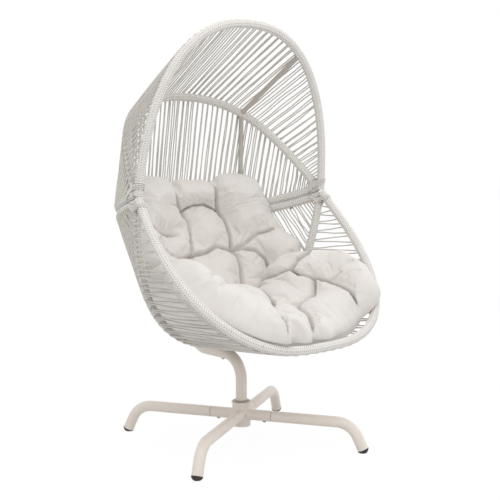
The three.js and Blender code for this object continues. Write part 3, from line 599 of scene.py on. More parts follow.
def braided_hoop(name, table, node, start_radii):
    """A hoop's tube with rows of slanted stitches round it, each row slanting against the next."""
    length = hoop_lengths[table]
    start = start_radii * hoop_radius / length
    rings = int((1 - 2 * start) * length / ring_step)
    share = np.linspace(start, 1 - start, rings)
    line = along(table, share)
    row = np.arange(hoop_sides) / hoop_sides * braid_columns
    side = np.where(np.floor(row) % 2 == 0, 1, -1)
    within = row % 1
    travel = (share * length / braid_pitch)[:, None] + (side * braid_slope * (within - 0.5))[None]
    stitch = np.sqrt(np.maximum(1 - (2 * (travel % 1) - 1) ** 2, 0))
    seam = 1 - (2 * np.abs(within - 0.5)) ** braid_seam_power
    radius = hoop_radius - braid_depth * (1 - stitch * seam[None])
    # Painted shade: each point is darkened in the gaps between stitches, most of all near the seams
    # between rows.
    to_gap = 0.5 - np.abs(travel % 1 - 0.5)
    near_seam = (2 * np.abs(within - 0.5)) ** 2
    crevice_shade = np.exp(-((to_gap / gap_shade_share) ** 2)) * (least_gap_shade + (1 - least_gap_shade) * near_seam[None])
    one_end, top, other_end = along(table, np.array([0, 0.5, 1]))
    plane_normal = unit(np.cross([1, 0, 0], top - (one_end + other_end) / 2))
    tube = joined(sweep(line, radius, hoop_sides, plane_normal))
    piece = add_piece(name, *tube, braid, "seat", "winding", [node], no_edge_angle)
    paint_shade(piece, crevice_shade.ravel())


for row in braided_hoops:
    braided_hoop(*row)

# Canopy spines
# Two bare tubes on each side hold the canopy's hoops apart. They are welded to the hoops before
# the cord goes on, and powder coated a darker greige than the stand.
spine_radius = 9.5 * mm
spine_spans = {"canopy_front": 263 * mm, "canopy_mid": 257 * mm, "canopy_rail": 283 * mm}
spine_sides = 40
collar_radius = spine_radius + 3 * mm
collar_steps = [  # radius, way from the middle of the hoop
    (0, hoop_radius - 4 * mm),
    (collar_radius, hoop_radius - 4 * mm),
    (collar_radius, hoop_radius + 1 * mm),
    (spine_radius, hoop_radius + 6 * mm),
]
# The same powder coat as the stand's, in a darker greige.
spine_coat = mottled("polyester_powder_coat_taupe", "#B3ADA5", "#C2BDB5", coat_clouds, orange_peel, satin)


def at_span(table, span):
    """The point of a hoop's +X half that lies a span from the middle plane."""
    half = hoops[table][: table_steps // 2]
    return half[np.argmin(np.abs(half[:, 0] - span))]


def spine(name, node, low, high, side):
    """A spine between two hoops, with a small weld collar where it meets each."""
    ends = [at_span(low, spine_spans[low]), at_span(high, spine_spans[high])]
    start, end = (p * np.array([side, 1, 1]) for p in ends)
    way = unit(end - start)
    length = np.linalg.norm(end - start)
    profile = collar_steps + [(radius, length - height) for radius, height in collar_steps[::-1]]
    tube = joined(lathe(profile, spine_sides, start, way))
    add_piece(name, *tube, spine_coat, "seat", "spine", [node])


for word, side in (("right", 1), ("left", -1)):
    spine(f"upper_spine_{word}", f"canopy_spine_upper_{word}", "canopy_front", "canopy_mid", side)
    spine(f"lower_spine_{word}", f"canopy_spine_lower_{word}", "canopy_mid", "canopy_rail", side)

# Lacing
# Braided cord of 5 mm runs to and fro between two hoops, over their outer sides. At each hoop it
# goes once round the tube and turns back beside itself, which makes the long narrow V shapes.
cord_radius = 2.5 * mm
cord_sides = 8
basket_middle = np.array([0, corner_y, corner_z - 4 * hoop_radius])
lacing_start = 0.035
cad_vees = 33
cad_ends = [0, 8, 17, 25, 33]
strip_names = ["right", "rear_right", "rear_left", "left"]
opening_spread = 0.05
opening_least, opening_most = 0.3, 0.97
place_spread = 0.0006
span_step = 22 * mm
sag_spread = (0.9 * mm, 0.5 * mm)
lean_spread = (1.1 * mm, 1 * mm)
panels = {  # near hoop, far hoop, number of V shapes, how far each is open at the near hoop
    "canopy_cord": ("canopy_front", "canopy_mid", 57, 0.5),
    "back_cord": ("canopy_mid", "canopy_rail", 60, 0.38),
    "basket_back_cord": ("basket_rail", "stay", 47, 0.7),
    "basket_seat_cord": ("stay", "basket_front", 43, 0.95),
}
# One wrap: share of the way along the hoop, degrees round it from its outer side, millimetres from
# its middle. The cord sinks between the stitches of the braid, goes round and comes out again.
wrap_route = [(0, -24, 17.4), (0, -8, 15.9), (0.03, 20, 14.2), (0.08, 50, 12.8), (0.15, 90, 12.2)]
wrap_route += [(0.3, 150, 12), (0.45, 210, 12), (0.6, 270, 12), (0.78, 325, 12.2), (0.9, 346, 12.8)]
wrap_route += [(0.97, 356, 14.2), (1, 352, 15.9), (1, 336, 17.4)]
wrap_fineness = 3
wrap_middle = 19  # the step of a finely divided wrap at which the cord is deepest in the braid
cord_pitch = 5.6 * mm
# The last two colours are painted shade: the first shows in the hollows of the relief; the second is not
# shown, as the laced pieces carry no shade amounts.
cord = polyester_cord("polyester_cord_laced", "#CBC7C0", "#DAD7D0", "#9E9992", "#6E6962")
drift_step = 0.42
drift_start = 1.3
drift_share = 0.35
tip_spread = 1.3
dice = np.random.default_rng(7)


def outward(place, way, across):
    """The normal of a panel that points away from the middle of the basket."""
    normal = unit(np.cross(way, across))
    return normal if normal @ (place - basket_middle) > 0 else -normal


def wrap(table, other, arrive, leave):
    """Points of one wrap round a hoop between two shares, and the outward way at each of them."""
    fine = np.linspace(0, len(wrap_route) - 1, wrap_fineness * len(wrap_route))
    route = np.array(wrap_route, float)
    progress, degrees, height = (np.interp(fine, range(len(route)), route[:, k]) for k in range(3))
    centre = along(table, arrive + (leave - arrive) * progress)
    middle = np.array([(arrive + leave) / 2])
    way = heading(table, middle)[0]
    across = along(other, middle)[0] - along(table, middle)[0]
    normal = outward(centre[0], way, across)
    inward = np.cross(way, normal)
    inward = inward if inward @ across > 0 else -inward
    turn = np.radians(degrees)[:, None]
    spoke = np.cos(turn) * normal - np.sin(turn) * inward
    return centre + spoke * height[:, None] * mm, spoke


def strand(start, end, start_up, end_up):
    """Points between two wraps: a cord that is pulled taut by hand, so never quite straight."""
    count = max(int(np.linalg.norm(end - start) / span_step), 2)
    t = np.linspace(0, 1, count + 1)[1:-1, None]
    one_wave, two_waves, three_waves = (np.sin(waves * math.pi * t) for waves in (1, 2, 3))
    sag = np.abs(dice.normal(0, sag_spread[0]) * one_wave + dice.normal(0, sag_spread[1]) * two_waves)
    lean = dice.normal(0, lean_spread[0]) * one_wave + dice.normal(0, lean_spread[1]) * three_waves
    up = start_up * (1 - t) + end_up * t
    side = unit(np.cross(end - start, up))
    return start + (end - start) * t + up * sag + side * lean, unit(up)


def looseness(vee):
    """How loosely the cord lies at a V: it drifts along a panel between pairs and single strands."""
    return 0.5 + 0.5 * math.sin(vee * drift_step + drift_start)


def lacing_line(near, far, vees, opening, first, last):
    """One strip's cord, from its first V to its last, with both ends sunk in the braid."""
    near_half, far_half = (cord_pitch / 2 / hoop_lengths[table] for table in (near, far))
    room = (1 - 2 * lacing_start) / vees
    wraps = []
    for vee in range(first, last + 1):
        loose = looseness(vee)
        place = lacing_start + room * vee
        wide = opening + drift_share * (loose - 0.5) + dice.normal(0, opening_spread)
        wide = min(max(wide, opening_least), opening_most)
        back = place - room * (1 - wide) + dice.normal(0, place_spread)
        wraps.append((near, far, back - near_half, place + near_half))
        tip = place + room * wide / 2 + dice.normal(0, place_spread)
        tip_half = far_half * (1 + tip_spread * loose**2)
        wraps.append((far, near, tip - tip_half, tip + tip_half))
    points, normals = [], []
    for index, route in enumerate(wraps[:-1]):
        place, spoke = wrap(*route)
        if index == 0:
            place, spoke = place[wrap_middle:], spoke[wrap_middle:]
        if index == len(wraps) - 2:
            place, spoke = place[:wrap_middle], spoke[:wrap_middle]
        if points:
            between, up = strand(points[-1][-1], place[0], normals[-1][-1], spoke[0])
            points.append(between)
            normals.append(up)
        points.append(place)
        normals.append(spoke)
    return np.concatenate(points), np.concatenate(normals)


for panel, (near, far, vees, opening) in panels.items():
    ends = [round(end * vees / cad_vees) for end in cad_ends]
    for strip, first, last in zip(strip_names, ends, ends[1:]):
        line, up = lacing_line(near, far, vees, opening, first, last)
        shape = joined(sweep(line, cord_radius, cord_sides, up))
        node = f"{panel}_{strip}"
        add_piece(f"{node}_laced", *shape, cord, "seat", "lacing", [node], no_edge_angle)

# Corner bindings
# Where two hoops leave a corner side by side, the same cord is wound round both of them together
# until they part, which ties the fan of tubes at each end.
binding_start = 26 * mm
binding_end = 39 * mm  # the way between the two middle lines at which the winding stops
binding_pitch = 5.9 * mm
binding_steps = 20
binding_lift = 2 * mm
# Painted shade round the bound cord, darkest on the side that lies against the tubes.
turn_shade = [0, 0.15, 0.7, 1, 1, 1, 0.7, 0.15]  # how dark each point round the cord is
binding_pairs = [
    ("canopy_front", "canopy_mid"),
    ("canopy_mid", "canopy_rail"),
    ("basket_front", "stay"),
    ("stay", "basket_rail"),
]


def binding_line(first, second, side):
    """A cord that goes round a pair of hoops again and again, from the corner outwards."""
    points, normals = [], []
    while True:
        loops, step = divmod(len(points), binding_steps)
        length = binding_start + binding_pitch * (loops + step / binding_steps)
        shares = [length / hoop_lengths[table] for table in (first, second)]
        shares = [s if side > 0 else 1 - s for s in shares]
        a, b = (along(table, np.array([s]))[0] for table, s in zip((first, second), shares))
        if np.linalg.norm(b - a) > binding_end:
            return np.array(points), np.array(normals)
        way = heading(first, np.array([shares[0]]))[0]
        line = unit(b - a)
        normal = unit(np.cross(way, line))
        angle = 2 * math.pi * step / binding_steps
        centre = b if math.cos(angle) > 0 else a
        spoke = unit(line * math.cos(angle) + normal * math.sin(angle))
        points.append(centre + spoke * (hoop_radius + binding_lift))
        normals.append(spoke)


for number, (first, second) in enumerate(binding_pairs, 1):
    for word, side in (("right", 1), ("left", -1)):
        line, up = binding_line(first, second, side)
        shape = joined(sweep(line, cord_radius, cord_sides, up))
        name = f"corner_binding_{number}_{word}"
        binding = add_piece(name, *shape, braid, "seat", "winding", (), no_edge_angle)
        paint_shade(binding, np.tile(turn_shade, len(line)))

# Post, keel and mast
# One steel tube of 42 mm: straight up from the swivel, back under the basket as its keel, and up
# behind it as a mast, where a welded tongue takes the bolt of the rail. The bolts and saddles that
# carry the basket go on with it.
post_radius = 21 * mm
post_bend = 87 * mm
keel_back_reach = 205 * mm
saddle_height = 6.6 * mm
tongue_length = 72 * mm
tongue_width = 26 * mm
tongue_thick = 6 * mm
tongue_overlap = 10 * mm  # how far the tongue runs on down inside the mast
tongue_steps = 14
edge_cut = 0.8 * mm
edge_share = 0.13  # the part of the tongue's thickness that the cut takes on each side
bead_radius = 2.2 * mm
bead_reach = (15 * mm, 5.5 * mm)
bead_steps = 41
bead_sides = 12
post_sides = 64
post_chamfer = 1.5 * mm
post_ease = (10 * mm, 5 * mm)  # what the straight part's points keep from its lower and upper end
bend_steps = 25
straight_steps = 6
mast_steps = 10
mast_lip = [(2 * mm, 1 * mm), (2.6 * mm, 4 * mm)]  # way past the mast's end, cut off its radius
stay_apex = along("stay", np.array([0.5]))[0]
rail_apex = along("basket_rail", np.array([0.5]))[0]
keel_height = stay_apex[2] - hoop_radius - saddle_height - post_radius
rear_bend = np.array([0, keel_back_reach, keel_height + post_bend])
tongue_offset = hoop_radius + saddle_height + tongue_thick / 2
to_rail = rail_apex - rear_bend
lean = math.atan2(to_rail[2], to_rail[1])
lean += math.asin((post_bend - tongue_offset) / math.hypot(to_rail[1], to_rail[2]))
mast_up = np.array([0, math.cos(lean), math.sin(lean)])
mast_back = np.array([0, math.sin(lean), -math.cos(lean)])
tongue_bolt = rail_apex + mast_back * tongue_offset
mast_end = tongue_bolt - mast_up * tongue_length
post_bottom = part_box("gooseneck")[0].z
bend_turns = np.linspace(0, 1, bend_steps)
post_low, post_high = post_bottom + post_ease[0], keel_height - post_bend - post_ease[1]
post_line = [(0, 0, post_bottom), (0, 0, post_bottom + post_chamfer)]
post_line += [(0, 0, z) for z in np.linspace(post_low, post_high, straight_steps)]
for turn in bend_turns * math.pi / 2:
    y = post_bend * (1 - math.cos(turn))
    post_line.append((0, y, keel_height - post_bend + post_bend * math.sin(turn)))
post_line += [(0, y, keel_height) for y in np.linspace(post_bend, keel_back_reach, straight_steps)[1:-1]]
for turn in bend_turns * lean:
    z = rear_bend[2] - post_bend * math.cos(turn)
    post_line.append((0, rear_bend[1] + post_bend * math.sin(turn), z))
bend_end = np.array(post_line[-1])
post_line += [tuple(bend_end + (mast_end - bend_end) * t) for t in np.linspace(0, 1, mast_steps)[1:]]
post_radii = np.full(len(post_line), post_radius)
post_radii[0] = post_radius - post_chamfer
post_line = np.array(post_line + [mast_end + mast_up * way for way, _ in mast_lip])
post_radii = np.concatenate([post_radii, [post_radius - cut for _, cut in mast_lip]])
post_shape = sweep(post_line, post_radii, post_sides, (1, 0, 0))

half_tongue = tongue_width / 2
tongue_foot = -tongue_length - tongue_overlap
tongue_arc = np.linspace(0, math.pi, tongue_steps)
tongue_outline = [(-half_tongue, tongue_foot)]
tongue_outline += [(-half_tongue * math.cos(a), half_tongue * math.sin(a)) for a in tongue_arc]
tongue_outline += [(half_tongue, tongue_foot)]
tongue_rings = []
for offset, inset in ((-0.5, 1), (-0.5 + edge_share, 0), (0.5 - edge_share, 0), (0.5, 1)):
    ring = []
    for x, t in tongue_outline:
        pull = 1 - inset * edge_cut / half_tongue
        corner = tongue_bolt + np.array([-x * pull, 0, 0]) + mast_up * t * (pull if t > 0 else 1)
        ring.append(corner + mast_back * offset * tongue_thick)
    tongue_rings.append(ring)
bead_centre = mast_end + mast_up * mast_lip[-1][0]
bead_line = []
for turn in np.linspace(0, 2 * math.pi, bead_steps):
    aside = np.array([bead_reach[0] * math.cos(turn), 0, 0])
    bead_line.append(bead_centre + aside + mast_back * bead_reach[1] * math.sin(turn))
weld = sweep(bead_line, bead_radius, bead_sides, mast_up)
post_piece = joined(post_shape, np.array(tongue_rings), weld)
add_piece("gooseneck_tube", *post_piece, coat, "seat", "coat", ["gooseneck"])

keel_seat = (0, stay_apex[1], keel_height - post_radius - joint_gap)
bolt_head("keel_stay_bolt", "keel_bolt", keel_seat, (0, 0, 1))
mast_seat = tongue_bolt + mast_back * (tongue_thick / 2 + joint_gap)
bolt_head("mast_rail_bolt", "mast_bolt", mast_seat, -mast_back)
bolt_low, bolt_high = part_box("post_bolt")
post_bolt_seat = (0, post_radius + joint_gap, (bolt_low.z + bolt_high.z) / 2)
bolt_head("post_spindle_bolt", "post_bolt", post_bolt_seat, (0, -1, 0))
for node in ("keel_saddle", "mast_saddle"):
    refinish(node, coat)
for i in range(4):
    refinish(f"rail_bolt_{i + 1}", zinc)

# Seat cushion
# A loose overstuffed pad of linen-look cloth over fibre filling, sewn round its edge. Buttonless
# tufts are stitched through it, and deep creases run from tuft to tuft and out to the rim.
bridge_near = 2 * hoop_radius
bridge_far = 60 * mm
over_hoop = hoop_radius + 3.5 * mm
on_cords = -(hoop_radius - 1.5 * mm)
lobe_swells = [(0.55, 13 * mm), (0.25, 50 * mm), (0.2, 120 * mm)]  # share of the height, reach
edge_swells = [(0.72, 44 * mm), (0.28, 110 * mm)]
outline_window = 0.006
window_steps = range(-4, 5)
crease_points = 90
hoop_span = np.linspace(0.1, 0.9, 200)
overrun = 0.2  # how far a lining may be asked for past its ends
fold_width = 5 * mm
seam_share = 0.2
normal_blur = 16
far_away = 10
rest_gap = 1.5 * mm
tuft_share = 0.6  # a crease that lies lower than this share of the height is tufted through
tuft_weight = 0.9
held_reach = 8 * mm
calm_near, calm_far = 3 * mm, 16 * mm  # where the cloth's own shape fades in, from a tufted crease
cloth_frames = 20
cloth_pressure = 4
cloth_growth = 0.06
cloth_cap = 22 * mm
least_length = 1e-9


def linen_look(name):
    """Linen-look polyester, plain woven: matt, warm off-white, with slubs and a faint cross grain."""
    finish, tree, place = new_finish(name)
    thread = 2.4 * mm  # the real thread of 0.6 mm, drawn four times as coarse so that it shows
    slub_length = 9 * mm
    cloud = 90 * mm
    on_cloth = {"Vector": place.outputs["UV"]}
    weave = []
    for direction in ("X", "Y"):
        wave = {"bands_direction": direction, "Scale": 1 / thread / (2 * math.pi), "Distortion": 1.5}
        wave["Detail"] = 2
        weave.append(add_node(tree, "ShaderNodeTexWave", wave, on_cloth).outputs["Fac"])
    cross = add_node(tree, "ShaderNodeMath", {"operation": "MULTIPLY"}, dict(enumerate(weave))).outputs[0]
    slub = add_node(tree, "ShaderNodeTexNoise", {"Scale": 1 / slub_length, "Detail": 5}, on_cloth)
    on_piece = {"Vector": place.outputs["Object"]}
    wide = add_node(tree, "ShaderNodeTexNoise", {"Scale": 1 / cloud, "Detail": 3}, on_piece)
    tone_sources = {0: cross, 2: slub.outputs["Fac"]}
    weave_share = {"operation": "MULTIPLY_ADD", 1: 0.35}
    tone = add_node(tree, "ShaderNodeMath", weave_share, tone_sources).outputs[0]
    both = add_node(tree, "ShaderNodeMath", {"operation": "MULTIPLY"}, {0: tone, 1: wide.outputs["Fac"]})
    relief = add_node(tree, "ShaderNodeBump", {"Strength": 0.35, "Distance": 0.5 * mm}, {"Height": tone})
    shades = {"data_type": "RGBA", 6: linear("#D8D3CE"), 7: linear("#E6E2DD")}
    colour = add_node(tree, "ShaderNodeMix", shades, {0: both.outputs[0]})
    even = {"Roughness": 0.92, "Sheen Weight": 0.25, "Sheen Roughness": 0.6}
    end_finish(tree, even, {"Base Color": colour.outputs[2], "Normal": relief.outputs[0]})
    return finish


linen = linen_look("linen_look_polyester_woven")


def smooth_step(value, low, high):
    """Zero below low, one above high, and a smooth rise between."""
    t = np.clip((value - low) / (high - low), 0, 1)
    return t * t * (3 - 2 * t)


def inward_normals(surface, u, v):
    """The normals of a lining that point into the basket."""
    small = 0.002
    here = surface(u, v)
    normal = unit(np.cross(surface(u + small, v) - here, surface(u, v + small) - here))
    return np.where(((here - basket_middle) * normal).sum(-1, keepdims=True) > 0, -normal, normal)


def nearest(points, targets):
    """Each point's distance to the nearest of some targets, and that target's number."""
    tree = mathutils.kdtree.KDTree(len(targets))
    for i, target in enumerate(targets):
        tree.insert(target, i)
    tree.balance()
    found = [tree.find(p) for p in points.reshape(-1, 3)]
    distance = np.array([f[2] for f in found]).reshape(points.shape[:-1])
    return distance, np.array([f[1] for f in found]).reshape(points.shape[:-1])


def drawn(side, share):
    """A side of a cushion's outline, from its few points, as a smooth function of a share."""
    places, values = np.array(side, float).T
    shifts = [np.interp(share + k * outline_window, places, values) for k in window_steps]
    return sum(shifts) / len(shifts)


def blurred(field, cells):
    """A field on a grid, averaged over some cells each way."""
    for axis in (0, 1):
        before = np.repeat(field.take([0], axis), cells, axis)
        after = np.repeat(field.take([-1], axis), cells, axis)
        total = np.cumsum(np.concatenate([before, field, after], axis), axis)
        span = 2 * cells
        far = total.take(range(span, total.shape[axis]), axis)
        field = (far - total.take(range(total.shape[axis] - span), axis)) / span
    return field


def puffed(distance, low, thick, swells):
    """The height of a lobe at a distance from its crease: a steep roll, then a slow swell."""
    rise = 0
    for share, reach in swells:
        rise = rise + share * np.sqrt(1 - (1 - np.clip(distance / reach, 0, 1)) ** 2)
    return low + (thick - low) * rise


def stitched(line, surface):
    """Points close together along a crease on a lining, and its height share or depth at each."""
    line = np.array(line, float)
    legs = np.concatenate([[0], np.cumsum(np.linalg.norm(np.diff(line[:, :2], axis=0), axis=1))])
    fine = np.linspace(0, legs[-1], crease_points)
    u, v, value = (np.interp(fine, legs, line[:, k]) for k in range(3))
    return surface(u, v), value


def inflated(points, faces, held):
    """Points of a cloth sheet after it is blown up between its held points."""
    mesh = bpy.data.meshes.new("cloth_in_work")
    mesh.from_pydata(points.tolist(), [], faces)
    sheet = bpy.data.objects.new("cloth_in_work", mesh)
    scene.collection.objects.link(sheet)
    group = sheet.vertex_groups.new(name="held")
    for level in np.unique(held[held > 0]):
        group.add(np.flatnonzero(held == level).tolist(), float(level), "REPLACE")
    cloth = sheet.modifiers.new("cloth", "CLOTH")
    cloth.point_cache.frame_start = 1
    cloth.point_cache.frame_end = cloth_frames
    settings = cloth.settings
    settings.quality = 6
    settings.mass = 0.25
    settings.vertex_group_mass = "held"
    settings.use_pressure = True
    settings.uniform_pressure_force = cloth_pressure
    settings.effector_weights.gravity = 0
    settings.tension_stiffness = 12
    settings.compression_stiffness = 12
    settings.shear_stiffness = 4
    settings.bending_stiffness = 0.3
    settings.shrink_min = -cloth_growth
    for number in range(1, cloth_frames + 1):
        scene.frame_set(number)
    result = sheet.evaluated_get(bpy.context.evaluated_depsgraph_get()).data
    moved = np.empty(len(points) * 3, np.float32)
    result.vertices.foreach_get("co", moved)
    scene.frame_set(1)
    bpy.data.objects.remove(sheet)
    step = moved.reshape(-1, 3) - points
    length = np.linalg.norm(step, axis=1, keepdims=True)
    return points + step * np.minimum(1, cloth_cap / np.maximum(length, least_length))


def refined(field):
    """A field on every second point of a grid, drawn out to all of them."""
    columns, rows = field.shape[:2]
    full = np.zeros((2 * columns - 1, 2 * rows - 1, 3))
    full[::2, ::2] = field
    full[1::2, ::2] = (field[:-1] + field[1:]) / 2
    full[:, 1::2] = (full[:, :-2:2] + full[:, 2::2]) / 2
    return blurred(full, 1)


def grid_faces(number):
    """The faces between the numbers of a grid's points."""
    near, far = number[:-1], number[1:]
    return np.stack([near[:, :-1], far[:, :-1], far[:, 1:], near[:, 1:]], -1).reshape(-1, 4)


def skin_tree(piece):
    """The faces of a piece, ready to be searched."""
    points, faces = [v.co for v in piece.data.vertices], [p.vertices for p in piece.data.polygons]
    return mathutils.bvhtree.BVHTree.FromPolygons(points, faces)


def room_behind(piece, base, normal):
    """How far each point of a lining may rise along its normal before it meets another piece."""
    tree = skin_tree(piece)
    room = []
    for place, way in zip(base.reshape(-1, 3), normal.reshape(-1, 3)):
        distance = tree.ray_cast(mathutils.Vector(place), mathutils.Vector(way))[3]
        room.append(far_away if distance is None else distance)
    return np.array(room).reshape(base.shape[:-1])


def hoop_points(names):
    """Points close together along some hoops, for a cushion to bridge over."""
    return np.concatenate([along(name, hoop_span) for name in names])


def creased(height, base, surface, thick, plump, creases, folds):
    """The height of the upper cloth between its creases, and each point's way to a tufted one."""
    tight = np.full(height.shape, 1.0)
    for line in creases:
        places, share = stitched(line, surface)
        distance, index = nearest(base, places)
        share = share[index]
        height = np.minimum(height, puffed(distance, thick * share, plump, lobe_swells))
        tight = np.minimum(tight, distance + (share > tuft_share))
    for line in folds:
        places, depth = stitched(line, surface)
        distance, index = nearest(base, places)
        height = height - depth[index] * mm * np.exp(-((distance / fold_width) ** 2))
    return height, tight


def cushion(name, node, surface, thick, outline, fullness, creases, folds, below, counts, ahead=None):
    """A tufted cushion over a lining: its plump upper cloth, its flat underside and their seam."""
    columns, rows = counts
    a = np.linspace(0, 1, columns)[:, None] * np.ones(rows)
    b = np.linspace(0, 1, rows)[None] * np.ones((columns, 1))
    right, left, rear, front = (drawn(outline[side], s) for side, s in zip(outline, (b, b, a, a)))
    u, v = right + (left - right) * a, rear + (front - rear) * b
    base = surface(u, v)
    normal = inward_normals(surface, u, v)
    soft_normal = unit(blurred(normal, normal_blur))
    across = np.cumsum(np.linalg.norm(np.diff(base, axis=0, prepend=base[:1]), axis=-1), 0)
    down = np.cumsum(np.linalg.norm(np.diff(base, axis=1, prepend=base[:, :1]), axis=-1), 1)
    edge = np.minimum(np.minimum(across, across[-1:] - across), np.minimum(down, down[:, -1:] - down))
    seam = seam_share * thick
    plump = thick * fullness(u, v)
    height = puffed(edge, seam, plump, edge_swells)
    height, tight = creased(height, base, surface, thick, plump, creases, folds)
    upper = base + soft_normal * np.maximum(height, seam)[..., None]
    number = np.arange(columns * rows).reshape(columns, rows)
    quads = grid_faces(number)
    rim = np.ones((columns, rows), bool)
    rim[1:-1, 1:-1] = False
    held = np.where(tight < held_reach, tuft_weight, 0)
    held[rim] = 1
    rough = upper[::2, ::2]
    faces = grid_faces(np.arange(rough[..., 0].size).reshape(rough.shape[:2]))
    blown = inflated(rough.reshape(-1, 3), faces.tolist(), held[::2, ::2].ravel())
    step = refined(blown.reshape(rough.shape) - rough)
    upper = upper + step * smooth_step(tight, calm_near, calm_far)[..., None]
    if ahead:
        over = ((upper - base) * soft_normal).sum(-1) - room_behind(ahead, base, soft_normal) + rest_gap
        upper = upper - soft_normal * np.maximum(over, 0)[..., None]
    distance, _ = nearest(base, below)
    bottom = over_hoop + (on_cords - over_hoop) * smooth_step(distance, bridge_near, bridge_far)
    lower = base + normal * puffed(edge, seam, bottom, edge_swells)[..., None]
    under = np.where(rim, number, number + columns * rows).ravel()
    faces = quads.tolist() + under[quads[:, ::-1]].tolist()
    points = np.concatenate([upper.reshape(-1, 3), lower.reshape(-1, 3)])
    piece = add_piece(name, points, faces, linen, "seat", "linen", [node], no_edge_angle)
    cloth_map = piece.data.uv_layers.new(name="UVMap")
    corners = np.empty(len(piece.data.loops), int)
    piece.data.loops.foreach_get("vertex_index", corners)
    place = np.stack([across, down], -1).reshape(-1, 2)
    cloth_map.data.foreach_set("uv", np.concatenate([place, place])[corners].ravel())
    return piece


seat_thick = 128 * mm
seat_start = 0.15
seat_rear = 0.085
seat_depth = 0.945
rear_swell = 0.75
rear_squareness = 0.3
rear_fade = (0.25, 0.75)
rear_dip = 0.5
dip_span = (0.19, 0.32)
rear_rise = 0.33
rise_span = (0.42, 0.55)
roll_swell = 0.2
roll_start = (0.5, 0.65)
roll_end = (0.85, 1)
roll_depth = (0.4, 0.7)
front_drop = 0.32
drop_start = (0.2, 0.42)
drop_depth = (0.62, 1)


def seat_surface(u, v):
    """The lining under the seat cushion, from the stay to just past the front rim."""
    share = seat_start + (1 - 2 * seat_start) * np.clip(u, -overrun, 1 + overrun)
    stay, rim = along("stay", share), along("basket_front", share)
    return stay + (rim - stay) * (seat_rear + seat_depth * v)[..., None]


def seat_fullness(u, v):
    """Fuller at the rear, where the back cushion pushes it up, and rounded off at the front."""
    arch = np.sin(math.pi * np.clip(u, 0, 1)) ** rear_squareness
    rear = rear_swell * arch * (1 - smooth_step(v, *rear_fade))
    rear = rear * (1 - rear_dip * smooth_step(u, *dip_span) + rear_rise * smooth_step(u, *rise_span))
    roll = roll_swell * smooth_step(u, *roll_start) * (1 - smooth_step(u, *roll_end))
    roll = roll * smooth_step(v, *roll_depth)
    front = front_drop * smooth_step(u, *drop_start) * smooth_step(v, *drop_depth)
    return 1 + rear + roll - front


seat_outline = {  # share of the way along a side, and where that side lies there
    "right": [(0, 0.12), (0.08, 0.055), (0.2, 0.045), (0.5, 0.035), (0.8, 0.03), (1, 0.08)],
    "left": [(0, 0.92), (0.15, 0.99), (0.5, 1.0), (0.8, 0.98), (1, 0.88)],
    "rear": [(0, 0.06), (0.05, -0.04), (0.2, -0.05), (0.3, 0.0), (0.5, 0.0), (0.94, 0.0), (1, 0.12)],
    "front": [(0, 0.92), (0.04, 1.02), (0.1, 1.07), (0.15, 1.05), (0.2, 0.98), (0.27, 0.9), (0.36, 0.88),
              (0.45, 0.93), (0.505, 1.0), (0.543, 0.87), (0.58, 1.01), (0.598, 1.02), (0.635, 0.87),
              (0.672, 1.03), (0.74, 1.0), (0.85, 0.93), (0.94, 0.88), (1, 0.8)],
}
seat_creases = [  # across, from the rear to the front, height share of the crease
    [(0.20, 0.27, 0.75), (0.13, 0.29, 0.9), (0.09, 0.34, 1.0), (0.05, 0.41, 0.95), (0.0, 0.46, 0.9)],
    [(0.20, 0.27, 0.75), (0.22, 0.36, 0.8), (0.21, 0.42, 0.7), (0.20, 0.47, 0.5)],
    [(0.20, 0.47, 0.5), (0.21, 0.57, 0.65), (0.19, 0.64, 0.75), (0.16, 0.73, 0.85), (0.15, 0.82, 1.1)],
    [(0.20, 0.47, 0.5), (0.20, 0.58, 0.45), (0.22, 0.72, 0.45), (0.25, 0.85, 0.35), (0.30, 0.93, 0.2),
     (0.35, 1.05, 0.1)],
    [(0.20, 0.27, 0.75), (0.24, 0.15, 0.8), (0.26, 0.04, 0.8), (0.27, -0.1, 0.6)],
    [(0.20, 0.47, 0.5), (0.30, 0.53, 0.55), (0.40, 0.54, 0.5), (0.50, 0.50, 0.45)],
    [(0.40, 0.10, 0.9), (0.43, 0.25, 0.75), (0.46, 0.40, 0.6), (0.50, 0.50, 0.45)],
    [(0.40, 0.54, 0.5), (0.44, 0.60, 0.6), (0.45, 0.67, 0.5), (0.46, 0.75, 0.3), (0.50, 0.87, 0.1),
     (0.543, 1.0, 0.03), (0.56, 1.12, 0.03)],
    [(0.50, 0.50, 0.45), (0.55, 0.58, 0.55), (0.57, 0.66, 0.5), (0.575, 0.74, 0.3), (0.60, 0.86, 0.1),
     (0.634, 0.98, 0.03), (0.65, 1.12, 0.03)],
    [(0.50, 0.50, 0.45), (0.58, 0.46, 0.5), (0.70, 0.45, 0.4), (0.85, 0.42, 0.5), (1.05, 0.40, 0.4)],
    [(0.70, 0.45, 0.4), (0.68, 0.2, 0.5), (0.66, -0.1, 0.4)],
]
seat_folds = [  # across, from the rear to the front, depth in millimetres
    [(0.82, 1.0, 2), (0.80, 0.90, 7), (0.75, 0.72, 1)],
    [(0.88, 0.97, 1), (0.86, 0.83, 5), (0.80, 0.55, 0)],
    [(0.92, 0.86, 1), (0.89, 0.66, 5), (0.84, 0.45, 0)],
    [(0.74, 0.98, 6), (0.70, 0.80, 3), (0.68, 0.70, 0)],
    [(0.42, 0.98, 5), (0.40, 0.86, 3), (0.39, 0.78, 0)],
    [(0.50, 0.96, 5), (0.49, 0.90, 3), (0.47, 0.84, 0)],
    [(0.28, 0.55, 0), (0.34, 0.60, 4), (0.40, 0.68, 0)],
    [(0.54, 0.76, 0), (0.60, 0.85, 5), (0.66, 0.93, 6), (0.70, 1.0, 3)],
    [(0.16, 0.86, 0), (0.15, 0.96, 5), (0.14, 1.05, 3)],
]
seat_cushion = cushion(
    "quilted_seat_cushion",
    "seat_cushion",
    seat_surface,
    seat_thick,
    seat_outline,
    seat_fullness,
    seat_creases,
    seat_folds,
    hoop_points(["stay", "basket_front"]),
    (289, 141),
)

